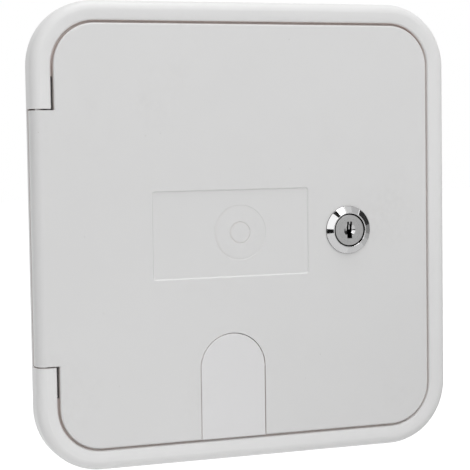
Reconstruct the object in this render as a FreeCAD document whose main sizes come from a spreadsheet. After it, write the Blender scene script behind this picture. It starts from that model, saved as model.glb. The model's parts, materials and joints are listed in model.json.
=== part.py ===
"""Caravan power inlet hatch: a wall frame with a hinged lid, a cam lock, a cable flap and a recessed inlet.

The wall plane is y = 0 and the hatch faces -Y, with +X to the right and +Z up. Heights in front of the wall
are counted along -Y. The origin is the middle of the wall flange. All lengths are in millimetres.
"""
import FreeCAD, Part
import math
import os
import Sketcher

# Driving dimensions: alias in the sheet and size
DIMENSIONS = {
    # Frame, seen from the front
    "overall_width": 180.0,
    "overall_height": 187.0,
    "corner_radius": 26.0,
    "rim_width": 8.0,
    "rim_roll": 3.6,
    "rim_dome_radius": 14.0,
    "rim_edge_radius": 1.0,
    "rim_wall": 2.0,
    "channel_depth": 6.4,
    "face_height": 9.6,
    "flange_thickness": 2.0,
    "rebate_width": 1.8,
    "rebate_gap": 0.4,
    "rebate_run": 4.0,
    # Ledge round the mouth of the recess, wider on the right where it is the strike for the cam
    "ledge_left": 18.0,
    "ledge_right": 34.0,
    "ledge_end": 20.5,
    "mouth_radius": 18.0,
    "side_lip": 2.0,
    "strike_lip": 10.0,
    # Fixing screws under the lid
    "screw_inset_x": 17.0,
    "screw_inset_z": 16.5,
    "screw_hole_radius": 2.2,
    # Collar that lines the cut-out in the wall
    "collar_wall": 2.0,
    "collar_depth": 14.0,
    "housing_fit": 0.15,
    "housing_seat": 0.4,
    # Seal on the ledge
    "seal_inset": 2.0,
    "seal_width": 3.0,
    "seal_height": 1.3,
    "seal_round": 1.0,
    "seal_clearance": 0.3,
    # Lid
    "lid_thickness": 2.8,
    "lid_gap": 1.0,
    "hinge_gap": 1.0,
    "lid_edge_radius": 0.7,
    "skirt_wall": 1.5,
    "rib_wall": 1.6,
    "rib_height": 2.4,
    "rib_row_inset": 57.5,
    "rib_inset_left": 22.0,
    "rib_inset_right": 34.0,
    "label_inset": 48.1,
    "label_lock_gap": 7.9,
    "label_height": 36.0,
    "label_depth": 0.5,
    "label_slope": 45.0,
    "label_radius": 1.2,
    "label_z": -0.4,
    "mark_x": -4.2,
    "mark_z": -0.2,
    "mark_radius": 4.3,
    "mark_width": 0.5,
    "mark_depth": 0.22,
    "mark_halo_radius": 10.95,
    "mark_halo_width": 0.8,
    "mark_halo_depth": 0.12,
    # Hinge
    "knuckle_length": 100.6,
    "knuckle_gap": 0.6,
    "tail_round": 1.2,
    "tail_gap": 0.4,
    "cradle_clearance": 0.4,
    "pin_radius": 1.5,
    "pin_seat": 8.0,
    "pin_stop": 3.0,
    "pin_press_fit": 0.02,
    "pin_running_fit": 0.06,
    # Lock
    "lock_inset": 46.0,
    "lock_z": -0.8,
    "lock_ring_radius": 10.0,
    "lock_ring_edge": 0.4,
    "lock_ring_height": 2.0,
    "lock_ring_round": 0.2,
    "lock_lip_radius": 7.4,
    "lock_mouth_radius": 6.9,
    "lock_barrel_radius": 8.0,
    "lock_hole_fit": 0.1,
    "lock_barrel_end": 0.3,
    "lock_nut_flats": 20.0,
    "lock_nut_height": 3.5,
    "nut_bevel": 30.0,
    "plug_head_radius": 6.45,
    "plug_head_depth": 1.3,
    "plug_recess": 0.3,
    "plug_radius": 6.0,
    "plug_fit": 0.05,
    "plug_dish_radius": 2.6,
    "plug_dish_wall": 0.5,
    "plug_dish_depth": 0.6,
    "key_slot_height": 7.0,
    "key_slot_width": 2.2,
    "key_slot_depth": 6.0,
    "key_ward_width": 0.6,
    "key_ward_height": 3.2,
    "tail_radius": 4.0,
    "tail_thread_radius": 2.4,
    "cam_thickness": 2.0,
    "cam_width": 10.0,
    "cam_length": 17.0,
    "cam_heel": 6.0,
    "cam_corner": 3.0,
    "strike_clearance": 0.8,
    "cam_nut_flats": 8.0,
    "cam_nut_height": 2.4,
    # Cable flap
    "flap_x": -8.2,
    "flap_axis_rise": 29.1,
    "flap_notch_radius": 14.2,
    "flap_gap": 0.3,
    "flap_rest_gap": 0.4,
    "flap_edge_radius": 0.3,
    "trunnion_radius": 0.8,
    "trunnion_reach": 2.2,
    "trunnion_fit": 0.06,
    "lug_width": 4.5,
    "lug_height": 8.0,
    "lug_depth": 1.8,
    "flap_rib_drop": 8.0,
    # Recess housing
    "housing_depth": 100.0,
    "housing_wall": 2.2,
    "housing_draft": 7.5,
    "housing_back_radius": 6.0,
    # Inlet on the sloping panel of the housing
    "inlet_y": 69.0,
    "inlet_drop": 32.0,
    "panel_tilt": 45.0,
    "inlet_flange": 60.0,
    "inlet_flange_radius": 6.0,
    "inlet_flange_height": 4.0,
    "inlet_flange_round": 1.5,
    "gasket_height": 1.2,
    "shroud_radius": 23.5,
    "shroud_wall": 3.0,
    "shroud_length": 35.0,
    "keyway_width": 6.0,
    "keyway_depth": 2.2,
    "keyway_wall": 2.0,
    "neck_radius": 20.0,
    "neck_fit": 0.5,
    "neck_reach": 4.0,
    "carrier_radius": 15.0,
    "carrier_fit": 0.1,
    "carrier_height": 3.0,
    "pin_circle_radius": 8.75,
    "power_pin_radius": 2.5,
    "earth_pin_radius": 3.5,
    "contact_length": 26.0,
    "contact_tail": 4.0,
    "contact_fit": 0.02,
    # Wiring cover and cable gland behind the panel
    "cover_radius": 25.0,
    "cover_wall": 2.0,
    "cover_depth": 32.0,
    "cover_chamfer": 5.0,
    "gland_thread_radius": 8.0,
    "gland_fit": 0.1,
    "gland_tail": 3.0,
    "gland_bore_radius": 4.5,
    "gland_collar_flats": 22.0,
    "gland_collar_height": 4.0,
    "gland_length": 10.0,
    "gland_nut_wall": 3.0,
    "gland_nut_length": 12.0,
    "gland_nut_end": 3.0,
    "grip_radius": 1.2,
}

FULL_TURN = 360.0
FAR_CUT = 2.0
GRIP_COUNT = 12
NEAR = 1e-4
SAME_WAY = 0.5

doc = FreeCAD.newDocument("PowerInletHatch")
sheet = doc.addObject("Spreadsheet::Sheet", "Sizes")
for row, (alias, size) in enumerate(DIMENSIONS.items(), start=1):
    sheet.set(f"A{row}", alias)
    sheet.set(f"B{row}", str(size))
    sheet.setAlias(f"B{row}", alias)
doc.recompute()


def size_of(expression):
    """The number that a sheet expression gives now."""
    return float(sheet.evalExpression(expression))


def named(formula):
    """Turn a formula of plain aliases into a sheet expression."""
    words = []
    for word in formula.replace("(", " ( ").replace(")", " ) ").split():
        words.append(f"Sizes.{word}" if word in DIMENSIONS else word)
    return "(" + " ".join(words) + ")"


def minus(expression):
    """The negative of an expression."""
    return f"(0 - {expression})"


# Sketch geometry, with every size bound to the sheet

def bind(sketch, expression, kind, *where):
    """Add a dimension to a sketch and tie it to the sheet."""
    index = sketch.addConstraint(Sketcher.Constraint(kind, *where, size_of(expression)))
    sketch.setExpression(f"Constraints[{index}]", expression)


def place_point(sketch, geometry, position, x, y):
    """Tie a point of the sketch to its coordinates."""
    bind(sketch, x, "DistanceX", -1, 1, geometry, position)
    bind(sketch, y, "DistanceY", -1, 1, geometry, position)


def point(x, y):
    """A sketch point from two expressions."""
    return FreeCAD.Vector(size_of(x), size_of(y), 0)


def draw_circle(sketch, x, y, radius):
    """A circle about (x, y)."""
    shape = Part.Circle(point(x, y), FreeCAD.Vector(0, 0, 1), size_of(radius))
    circle = sketch.addGeometry(shape)
    place_point(sketch, circle, 3, x, y)
    bind(sketch, radius, "Radius", circle)


def draw_polygon(sketch, corners):
    """A closed outline of straight lines through the corners."""
    spots = [point(x, y) for x, y in corners]
    lines = []
    for start, end in zip(spots, spots[1:] + spots[:1]):
        lines.append(sketch.addGeometry(Part.LineSegment(start, end)))
    for line, following in zip(lines, lines[1:] + lines[:1]):
        sketch.addConstraint(Sketcher.Constraint("Coincident", line, 2, following, 1))
    for line, (x, y) in zip(lines, corners):
        place_point(sketch, line, 1, x, y)


def draw_outline(sketch, corners):
    """A closed outline of level and upright lines, with a radius on each corner that has one.

    Each corner is (x, y, radius), and the radius is None where the corner is sharp or lies on a straight run.
    """
    count = len(corners)
    spots = [point(x, y) for x, y, _ in corners]
    radii = [size_of(radius) if radius else 0.0 for _, _, radius in corners]
    ways = [(spots[(i + 1) % count] - spots[i]).normalize() for i in range(count)]
    lines = []
    for i in range(count):
        start = spots[i] + ways[i] * radii[i]
        end = spots[(i + 1) % count] - ways[i] * radii[(i + 1) % count]
        lines.append(sketch.addGeometry(Part.LineSegment(start, end)))
    for i, (x, y, radius) in enumerate(corners):
        before, after = lines[i - 1], lines[i]
        if radius is None:
            sketch.addConstraint(Sketcher.Constraint("Coincident", before, 2, after, 1))
            continue
        centre = spots[i] - ways[i - 1] * radii[i] + ways[i] * radii[i]
        turns_left = ways[i - 1].cross(ways[i]).z > 0
        first = -ways[i] if turns_left else ways[i - 1]
        start_angle = math.atan2(first.y, first.x)
        arc_shape = Part.ArcOfCircle(
            Part.Circle(centre, FreeCAD.Vector(0, 0, 1), radii[i]), start_angle, start_angle + math.pi / 2
        )
        arc = sketch.addGeometry(arc_shape)
        begin, finish = (1, 2) if turns_left else (2, 1)
        sketch.addConstraint(Sketcher.Constraint("Tangent", before, 2, arc, begin))
        sketch.addConstraint(Sketcher.Constraint("Tangent", after, 1, arc, finish))
        bind(sketch, radius, "Radius", arc)
    for i, line in enumerate(lines):
        x, y, _ = corners[i]
        level = abs(ways[i].x) > abs(ways[i].y)
        on_straight_run = abs(ways[i].dot(ways[i - 1])) > SAME_WAY
        sketch.addConstraint(Sketcher.Constraint("Horizontal" if level else "Vertical", line))
        if level == on_straight_run:
            bind(sketch, x, "DistanceX", -1, 1, line, 1)
        else:
            bind(sketch, y, "DistanceY", -1, 1, line, 1)


def draw_rectangle(sketch, left, right, bottom, top, radius):
    """A rounded rectangle between four edges."""
    corners = [(right, top), (left, top), (left, bottom), (right, bottom)]
    draw_outline(sketch, [(x, y, radius) for x, y in corners])


def draw_hexagon(sketch, flats):
    """A regular hexagon about the middle, with its flats upright."""
    reach = f"({flats} / 2)"
    half_side = f"({flats} / 2 * tan(30 deg))"
    tip = f"({flats} / 2 / cos(30 deg))"
    corners = [
        (reach, half_side),
        ("0", tip),
        (minus(reach), half_side),
        (minus(reach), minus(half_side)),
        ("0", minus(tip)),
        (reach, minus(half_side)),
    ]
    draw_polygon(sketch, corners)


# Bodies and features

SUBPARTS = []


def new_body(name):
    """Start a sub-part."""
    body = doc.addObject("PartDesign::Body", name)
    body.Label = name
    SUBPARTS.append(body)
    return body


def new_sketch(body, role, name, offset="0"):
    """A sketch on one of the body's own origin planes, moved along the plane's normal."""
    sketch = body.newObject("Sketcher::SketchObject", f"{body.Name}_{name}")
    plane = next(item for item in body.Origin.OriginFeatures if item.Role == role)
    sketch.AttachmentSupport = [(plane, "")]
    sketch.MapMode = "FlatFace"
    sketch.setExpression("AttachmentOffset.Base.z", offset)
    return sketch


def extrude(body, kind, sketch, length, both_ways=False, backwards=False):
    """A pad or a pocket of a sketch; both_ways spreads the length about the sketch."""
    feature = body.newObject(f"PartDesign::{kind}", f"{sketch.Name}_{kind.lower()}")
    feature.Profile = sketch
    feature.setExpression("Length", length)
    feature.Reversed = backwards
    if both_ways:
        feature.SideType = "Symmetric"
    doc.recompute()
    return feature


def pad(body, sketch, length, **options):
    """Add material to a body."""
    return extrude(body, "Pad", sketch, length, **options)


def pocket(body, sketch, length, **options):
    """Cut material from a body, and make sure that something was cut."""
    before = body.Tip.Shape.Volume
    feature = extrude(body, "Pocket", sketch, length, **options)
    assert feature.Shape.Volume < before - NEAR, f"{sketch.Name} cuts nothing"
    return feature


def slope(feature, angle):
    """Lean the sides of a pad or a pocket inwards by an angle."""
    feature.setExpression("TaperAngle", f"0 deg - {angle} * 1 deg")
    doc.recompute()


def revolve(body, sketch, kind="Revolution"):
    """Turn a sketch about the body's Y axis."""
    feature = body.newObject(f"PartDesign::{kind}", f"{sketch.Name}_{kind.lower()}")
    feature.Profile = sketch
    feature.ReferenceAxis = (sketch, ["V_Axis"])
    feature.Angle = FULL_TURN
    doc.recompute()
    return feature


def fillet(body, radius, chosen):
    """Round the edges of a body that a test picks."""
    base = body.Tip
    names = [f"Edge{i}" for i, edge in enumerate(base.Shape.Edges, start=1) if chosen(edge)]
    assert names, f"{body.Label} has no edge to round"
    feature = body.newObject("PartDesign::Fillet", f"{body.Name}_fillet")
    feature.Base = (base, names)
    feature.setExpression("Radius", radius)
    doc.recompute()
    return feature


def lies_at(edge, y):
    """Whether an edge lies in the plane at this y."""
    return abs(edge.BoundBox.YMin - y) < NEAR and abs(edge.BoundBox.YMax - y) < NEAR


def is_ring(edge, radius):
    """Whether an edge is a full circle of this radius."""
    return edge.isClosed() and abs(edge.Length - 2 * math.pi * radius) < NEAR


def put_at(body, x, y, z, tilt=None):
    """Place a body, tilted about X where a tilt is given."""
    for axis, expression in zip("xyz", (x, y, z)):
        body.setExpression(f"Placement.Base.{axis}", expression)
    if tilt:
        body.Placement.Rotation = FreeCAD.Rotation(FreeCAD.Vector(1, 0, 0), size_of(tilt))
        body.setExpression("Placement.Rotation.Angle", f"{tilt} * 1 deg")


# Places that several pieces share
HALF_WIDTH = named("overall_width / 2")
HALF_HEIGHT = named("overall_height / 2")
FACE = named("face_height")
AXIS_X = named("rim_roll - overall_width / 2")
AXIS_HEIGHT = named("face_height - rim_roll")
CRADLE_LIP = named("face_height - 2 * rim_roll - tail_gap")
LID_BACK = named("face_height - lid_thickness")
LID_LEFT = named("rim_width + hinge_gap - overall_width / 2")
LID_RIGHT = named("overall_width / 2 - rim_width - lid_gap")
LID_TOP = named("overall_height / 2 - rim_width - lid_gap")
LID_RADIUS = named("corner_radius - rim_width - lid_gap")
MOUTH_LEFT = named("ledge_left - overall_width / 2")
MOUTH_RIGHT = named("overall_width / 2 - ledge_right")
MOUTH_TOP = named("overall_height / 2 - ledge_end")
MOUTH_MIDDLE = named("(ledge_left - ledge_right) / 2")
LOCK_X = named("overall_width / 2 - lock_inset")
LOCK_Z = named("lock_z")
FLAP_X = named("flap_x")
FLAP_AXIS_Z = f"({named('flap_axis_rise')} - {LID_TOP})"
FLAP_HEIGHT = named("face_height - lid_thickness / 2")
SKIRT_INSET = named("seal_inset + (seal_width - skirt_wall) / 2")
SKIRT_END = named("flange_thickness + seal_height + seal_clearance")
HOUSING_GROWTH = named("housing_wall")
COLLAR_GROWTH = named("housing_wall + housing_fit")


def draw_mouth(sketch, growth):
    """The mouth of the recess, grown all round."""
    top = f"({MOUTH_TOP} + {growth})"
    draw_rectangle(
        sketch,
        f"({MOUTH_LEFT} - {growth})",
        f"({MOUTH_RIGHT} + {growth})",
        minus(top),
        top,
        f"({named('mouth_radius')} + {growth})",
    )


def draw_recess(sketch, growth):
    """The inside of the recess behind the mouth's lips, grown all round."""
    top = f"({MOUTH_TOP} + {named('side_lip')} + {growth})"
    draw_rectangle(
        sketch,
        f"({MOUTH_LEFT} - {named('side_lip')} - {growth})",
        f"({MOUTH_RIGHT} + {named('strike_lip')} + {growth})",
        minus(top),
        top,
        f"({named('mouth_radius + side_lip')} + {growth})",
    )


# Frame

def draw_rim_path(sketch):
    """The outer edge of the frame, from the middle of the right-hand side and back to it."""
    radius = named("corner_radius")
    corners = [(HALF_WIDTH, "0", None)]
    for x, z in (
        (HALF_WIDTH, HALF_HEIGHT),
        (minus(HALF_WIDTH), HALF_HEIGHT),
        (minus(HALF_WIDTH), minus(HALF_HEIGHT)),
        (HALF_WIDTH, minus(HALF_HEIGHT)),
    ):
        corners.append((x, z, radius))
    draw_outline(sketch, corners)


def draw_rim_section(sketch):
    """The rolled section of the rim: upright outside, rolled over, domed, and rounded at its inner edge."""
    outer = size_of(HALF_WIDTH)
    inner = outer - size_of("Sizes.rim_width")
    face = -size_of(FACE)
    roll, dome, edge = (size_of(f"Sizes.{name}") for name in ("rim_roll", "rim_dome_radius", "rim_edge_radius"))
    normal = FreeCAD.Vector(0, 0, 1)
    crown_x = outer - roll
    dome_centre = FreeCAD.Vector(crown_x, face + dome, 0)
    edge_x = inner + edge
    edge_y = dome_centre.y - math.sqrt((dome - edge) ** 2 - (crown_x - edge_x) ** 2)
    edge_centre = FreeCAD.Vector(edge_x, edge_y, 0)
    toward_edge = math.atan2(edge_centre.y - dome_centre.y, edge_centre.x - dome_centre.x)
    quarter = math.pi / 2
    outside = sketch.addGeometry(
        Part.LineSegment(FreeCAD.Vector(outer, 0, 0), FreeCAD.Vector(outer, face + roll, 0))
    )
    rolled = sketch.addGeometry(
        Part.ArcOfCircle(Part.Circle(FreeCAD.Vector(crown_x, face + roll, 0), normal, roll), -quarter, 0)
    )
    domed = sketch.addGeometry(
        Part.ArcOfCircle(Part.Circle(dome_centre, normal, dome), toward_edge, -quarter)
    )
    rounded = sketch.addGeometry(
        Part.ArcOfCircle(Part.Circle(edge_centre, normal, edge), -2 * quarter, toward_edge)
    )
    inside = sketch.addGeometry(
        Part.LineSegment(FreeCAD.Vector(inner, edge_y, 0), FreeCAD.Vector(inner, 0, 0))
    )
    foot = sketch.addGeometry(Part.LineSegment(FreeCAD.Vector(inner, 0, 0), FreeCAD.Vector(outer, 0, 0)))
    sketch.addConstraint(Sketcher.Constraint("Tangent", outside, 2, rolled, 2))
    sketch.addConstraint(Sketcher.Constraint("Tangent", rolled, 1, domed, 2))
    sketch.addConstraint(Sketcher.Constraint("Tangent", domed, 1, rounded, 2))
    sketch.addConstraint(Sketcher.Constraint("Tangent", rounded, 1, inside, 1))
    sketch.addConstraint(Sketcher.Constraint("Coincident", inside, 2, foot, 1))
    sketch.addConstraint(Sketcher.Constraint("Coincident", foot, 2, outside, 1))
    sketch.addConstraint(Sketcher.Constraint("Vertical", outside))
    sketch.addConstraint(Sketcher.Constraint("Vertical", inside))
    place_point(sketch, outside, 1, HALF_WIDTH, "0")
    place_point(sketch, inside, 2, named("overall_width / 2 - rim_width"), "0")
    place_point(sketch, rolled, 1, named("overall_width / 2 - rim_roll"), minus(FACE))
    bind(sketch, named("rim_dome_radius"), "Radius", domed)
    bind(sketch, named("rim_edge_radius"), "Radius", rounded)


def draw_band(sketch, outer_inset, inner_inset, stop):
    """A band inside the frame's outline, open on the left between two stops about the middle."""
    half_width = f"({HALF_WIDTH} - {outer_inset})"
    half_height = f"({HALF_HEIGHT} - {outer_inset})"
    inner_width = f"({HALF_WIDTH} - {inner_inset})"
    inner_height = f"({HALF_HEIGHT} - {inner_inset})"
    outer_radius = f"({named('corner_radius')} - {outer_inset})"
    inner_radius = f"({named('corner_radius')} - {inner_inset})"
    draw_outline(
        sketch,
        [
            (minus(half_width), stop, None),
            (minus(half_width), half_height, outer_radius),
            (half_width, half_height, outer_radius),
            (half_width, minus(half_height), outer_radius),
            (minus(half_width), minus(half_height), outer_radius),
            (minus(half_width), minus(stop), None),
            (minus(inner_width), minus(stop), None),
            (minus(inner_width), minus(inner_height), inner_radius),
            (inner_width, minus(inner_height), inner_radius),
            (inner_width, inner_height, inner_radius),
            (minus(inner_width), inner_height, inner_radius),
            (minus(inner_width), stop, None),
        ],
    )


def build_frame():
    """Wall flange with the rolled rim, the collar, the hinge cradle and the screw holes."""
    body = new_body("frame")
    flange = new_sketch(body, "XZ_Plane", "flange")
    draw_rectangle(
        flange, minus(HALF_WIDTH), HALF_WIDTH, minus(HALF_HEIGHT), HALF_HEIGHT, named("corner_radius")
    )
    draw_mouth(flange, "0")
    pad(body, flange, named("flange_thickness"))
    path = new_sketch(body, "XZ_Plane", "rim_path")
    draw_rim_path(path)
    section = new_sketch(body, "XY_Plane", "rim_section")
    draw_rim_section(section)
    rim = body.newObject("PartDesign::AdditivePipe", "frame_rim")
    rim.Profile = section
    rim.Spine = (path, [])
    doc.recompute()
    collar = new_sketch(body, "XZ_Plane", "collar")
    draw_recess(collar, COLLAR_GROWTH)
    draw_recess(collar, f"({COLLAR_GROWTH} + {named('collar_wall')})")
    pad(body, collar, named("collar_depth"), backwards=True)
    notch_length = named("knuckle_length + 2 * knuckle_gap")
    notch = new_sketch(body, "XY_Plane", "hinge_notch")
    clear = f"({FACE} + {FAR_CUT})"
    draw_polygon(
        notch,
        [
            (f"({minus(HALF_WIDTH)} - {FAR_CUT})", minus(CRADLE_LIP)),
            (LID_LEFT, minus(CRADLE_LIP)),
            (LID_LEFT, minus(clear)),
            (f"({minus(HALF_WIDTH)} - {FAR_CUT})", minus(clear)),
        ],
    )
    pocket(body, notch, notch_length, both_ways=True)
    cradle = new_sketch(body, "XY_Plane", "hinge_cradle")
    corner_reach = f"({named('rim_roll - tail_round')} / sin(45 deg) + {named('tail_round')})"
    draw_circle(cradle, AXIS_X, minus(AXIS_HEIGHT), f"({corner_reach} + {named('cradle_clearance')})")
    pocket(body, cradle, notch_length, both_ways=True)
    pin_hole = new_sketch(body, "XY_Plane", "pin_hole")
    draw_circle(pin_hole, AXIS_X, minus(AXIS_HEIGHT), named("pin_radius + pin_press_fit"))
    pocket(body, pin_hole, named("knuckle_length + 2 * knuckle_gap + 2 * pin_seat"), both_ways=True)
    channel = new_sketch(body, "XZ_Plane", "channel")
    channel_stop = named("knuckle_length / 2 + knuckle_gap + pin_seat + pin_stop")
    draw_band(channel, named("rim_wall"), named("rim_width - rim_wall"), channel_stop)
    pocket(body, channel, named("channel_depth"), backwards=True)
    rebate = new_sketch(body, "XZ_Plane", "rebate", offset=named("flange_thickness"))
    rebate_stop = named("overall_height / 2 - corner_radius - rebate_run")
    draw_band(rebate, named("rim_width"), named("rim_width + rebate_width"), rebate_stop)
    pad(body, rebate, f"({LID_BACK} - {named('flange_thickness + rebate_gap')})")
    screws = new_sketch(body, "XZ_Plane", "screw_holes", offset=named("flange_thickness"))
    screw_x = named("overall_width / 2 - screw_inset_x")
    screw_z = named("overall_height / 2 - screw_inset_z")
    for x in (screw_x, minus(screw_x)):
        for z in (screw_z, minus(screw_z)):
            draw_circle(screws, x, z, named("screw_hole_radius"))
    pocket(body, screws, named("flange_thickness"))
    seat = new_sketch(body, "XZ_Plane", "housing_seat")
    draw_recess(seat, COLLAR_GROWTH)
    pocket(body, seat, named("housing_seat"), backwards=True)


def build_seal():
    """Rubber seal with a rounded bead on the ledge, round the mouth."""
    body = new_body("lid_seal")
    ring = new_sketch(body, "XZ_Plane", "ring", offset=named("flange_thickness"))
    draw_mouth(ring, named("seal_inset"))
    draw_mouth(ring, named("seal_inset + seal_width"))
    pad(body, ring, named("seal_height"))
    crest = -size_of(named("flange_thickness + seal_height"))
    fillet(body, named("seal_round"), lambda edge: lies_at(edge, crest))


def build_hinge_pin():
    """Steel rod through the lid's knuckle, held in the rim at both ends."""
    rod = doc.addObject("Part::Cylinder", "hinge_pin")
    rod.Label = "hinge_pin"
    rod.setExpression("Radius", named("pin_radius"))
    rod.setExpression("Height", named("knuckle_length + 2 * knuckle_gap + 2 * pin_seat"))
    rod.setExpression("Placement.Base.x", AXIS_X)
    rod.setExpression("Placement.Base.y", minus(AXIS_HEIGHT))
    rod.setExpression("Placement.Base.z", minus(named("knuckle_length / 2 + knuckle_gap + pin_seat")))
    SUBPARTS.append(rod)


# Lid

def draw_arch(sketch, gap, bottom):
    """The arched outline of the cable flap: upright sides and a half-round top."""
    radius = f"({named('flap_notch_radius')} - {gap})"
    left = f"({FLAP_X} - {radius})"
    right = f"({FLAP_X} + {radius})"
    spring = FLAP_AXIS_Z
    spots = [point(right, bottom), point(right, spring), point(left, spring), point(left, bottom)]
    right_side = sketch.addGeometry(Part.LineSegment(spots[0], spots[1]))
    centre = point(FLAP_X, spring)
    top = sketch.addGeometry(
        Part.ArcOfCircle(Part.Circle(centre, FreeCAD.Vector(0, 0, 1), size_of(radius)), 0, math.pi)
    )
    left_side = sketch.addGeometry(Part.LineSegment(spots[2], spots[3]))
    foot = sketch.addGeometry(Part.LineSegment(spots[3], spots[0]))
    sketch.addConstraint(Sketcher.Constraint("Tangent", right_side, 2, top, 1))
    sketch.addConstraint(Sketcher.Constraint("Tangent", top, 2, left_side, 1))
    sketch.addConstraint(Sketcher.Constraint("Coincident", left_side, 2, foot, 1))
    sketch.addConstraint(Sketcher.Constraint("Coincident", foot, 2, right_side, 1))
    sketch.addConstraint(Sketcher.Constraint("Horizontal", foot))
    place_point(sketch, top, 3, FLAP_X, spring)
    bind(sketch, radius, "Radius", top)
    bind(sketch, bottom, "DistanceY", -1, 1, foot, 1)


def draw_knuckle(sketch):
    """The section of the hinge roll: round about the pin, and squared off towards the outside and the wall."""
    axis = point(AXIS_X, minus(AXIS_HEIGHT))
    roll, corner = size_of("Sizes.rim_roll"), size_of("Sizes.tail_round")
    quarter = math.pi / 2
    normal = FreeCAD.Vector(0, 0, 1)
    corner_centre = axis + FreeCAD.Vector(corner - roll, roll - corner, 0)
    rolled = sketch.addGeometry(Part.ArcOfCircle(Part.Circle(axis, normal, roll), 2 * quarter, 5 * quarter))
    foot = sketch.addGeometry(
        Part.LineSegment(axis + FreeCAD.Vector(0, roll, 0), corner_centre + FreeCAD.Vector(0, corner, 0))
    )
    rounded = sketch.addGeometry(
        Part.ArcOfCircle(Part.Circle(corner_centre, normal, corner), quarter, 2 * quarter)
    )
    outside = sketch.addGeometry(
        Part.LineSegment(corner_centre - FreeCAD.Vector(corner, 0, 0), axis - FreeCAD.Vector(roll, 0, 0))
    )
    sketch.addConstraint(Sketcher.Constraint("Tangent", rolled, 2, foot, 1))
    sketch.addConstraint(Sketcher.Constraint("Tangent", foot, 2, rounded, 1))
    sketch.addConstraint(Sketcher.Constraint("Tangent", rounded, 2, outside, 1))
    sketch.addConstraint(Sketcher.Constraint("Tangent", outside, 2, rolled, 1))
    sketch.addConstraint(Sketcher.Constraint("Horizontal", foot))
    sketch.addConstraint(Sketcher.Constraint("Vertical", outside))
    place_point(sketch, rolled, 3, AXIS_X, minus(AXIS_HEIGHT))
    bind(sketch, named("rim_roll"), "Radius", rolled)
    bind(sketch, named("tail_round"), "Radius", rounded)


def build_lid():
    """Flat lid with its hinge roll, skirt, ribs, label panel, lock hole and flap notch."""
    body = new_body("lid")
    half_knuckle = named("knuckle_length / 2")
    plate = new_sketch(body, "XZ_Plane", "plate", offset=LID_BACK)
    draw_outline(
        plate,
        [
            (AXIS_X, minus(half_knuckle), None),
            (LID_LEFT, minus(half_knuckle), None),
            (LID_LEFT, minus(LID_TOP), LID_RADIUS),
            (LID_RIGHT, minus(LID_TOP), LID_RADIUS),
            (LID_RIGHT, LID_TOP, LID_RADIUS),
            (LID_LEFT, LID_TOP, LID_RADIUS),
            (LID_LEFT, half_knuckle, None),
            (AXIS_X, half_knuckle, None),
        ],
    )
    pad(body, plate, named("lid_thickness"))
    face = -size_of(FACE)
    lid_left = size_of(LID_LEFT)

    fillet(
        body,
        named("lid_edge_radius"),
        lambda edge: lies_at(edge, face) and edge.BoundBox.XMin > lid_left - NEAR,
    )
    knuckle = new_sketch(body, "XY_Plane", "knuckle")
    draw_knuckle(knuckle)
    pad(body, knuckle, named("knuckle_length"), both_ways=True)
    bore = new_sketch(body, "XY_Plane", "pin_bore")
    draw_circle(bore, AXIS_X, minus(AXIS_HEIGHT), named("pin_radius + pin_running_fit"))
    pocket(body, bore, named("knuckle_length"), both_ways=True)
    skirt = new_sketch(body, "XZ_Plane", "skirt", offset=SKIRT_END)
    draw_mouth(skirt, SKIRT_INSET)
    draw_mouth(skirt, f"({SKIRT_INSET} + {named('skirt_wall')})")
    pad(body, skirt, f"({LID_BACK} - {SKIRT_END})")
    build_lid_ribs(body)
    lugs = new_sketch(body, "XZ_Plane", "lugs", offset=f"({LID_BACK} - {named('lug_depth')})")
    lug_low = f"({FLAP_AXIS_Z} - {named('lug_height / 2')})"
    lug_high = f"({FLAP_AXIS_Z} + {named('lug_height / 2')})"
    for near, far in (
        (named("flap_x + flap_notch_radius"), named("flap_x + flap_notch_radius + lug_width")),
        (named("flap_x - flap_notch_radius - lug_width"), named("flap_x - flap_notch_radius")),
    ):
        draw_polygon(lugs, [(near, lug_low), (far, lug_low), (far, lug_high), (near, lug_high)])
    pad(body, lugs, named("lug_depth"))
    notch = new_sketch(body, "XZ_Plane", "flap_notch", offset=FACE)
    draw_arch(notch, "0", f"({minus(LID_TOP)} - {FAR_CUT})")
    pocket(body, notch, named("lid_thickness + flap_rest_gap"))
    trunnion = new_sketch(body, "YZ_Plane", "trunnion_holes", offset=FLAP_X)
    draw_circle(trunnion, minus(FLAP_HEIGHT), FLAP_AXIS_Z, named("trunnion_radius + trunnion_fit"))
    pocket(body, trunnion, named("2 * flap_notch_radius + 2 * trunnion_reach"), both_ways=True)
    lock = new_sketch(body, "XZ_Plane", "lock_hole", offset=FACE)
    draw_circle(lock, LOCK_X, LOCK_Z, named("lock_barrel_radius + lock_hole_fit"))
    pocket(body, lock, named("lid_thickness"))
    label = new_sketch(body, "XZ_Plane", "label_panel", offset=FACE)
    draw_rectangle(
        label,
        named("label_inset - overall_width / 2"),
        f"({LOCK_X} - {named('lock_ring_radius + label_lock_gap')})",
        named("label_z - label_height / 2"),
        named("label_z + label_height / 2"),
        named("label_radius"),
    )
    slope(pocket(body, label, named("label_depth")), named("label_slope"))
    for ring in ("mark", "mark_halo"):
        groove = new_sketch(body, "XZ_Plane", ring, offset=named("face_height - label_depth"))
        for way in ("+", "-"):
            radius = named(f"{ring}_radius {way} {ring}_width / 2")
            draw_circle(groove, named("mark_x"), named("mark_z"), radius)
        slope(pocket(body, groove, named(f"{ring}_depth")), named("label_slope"))


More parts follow.
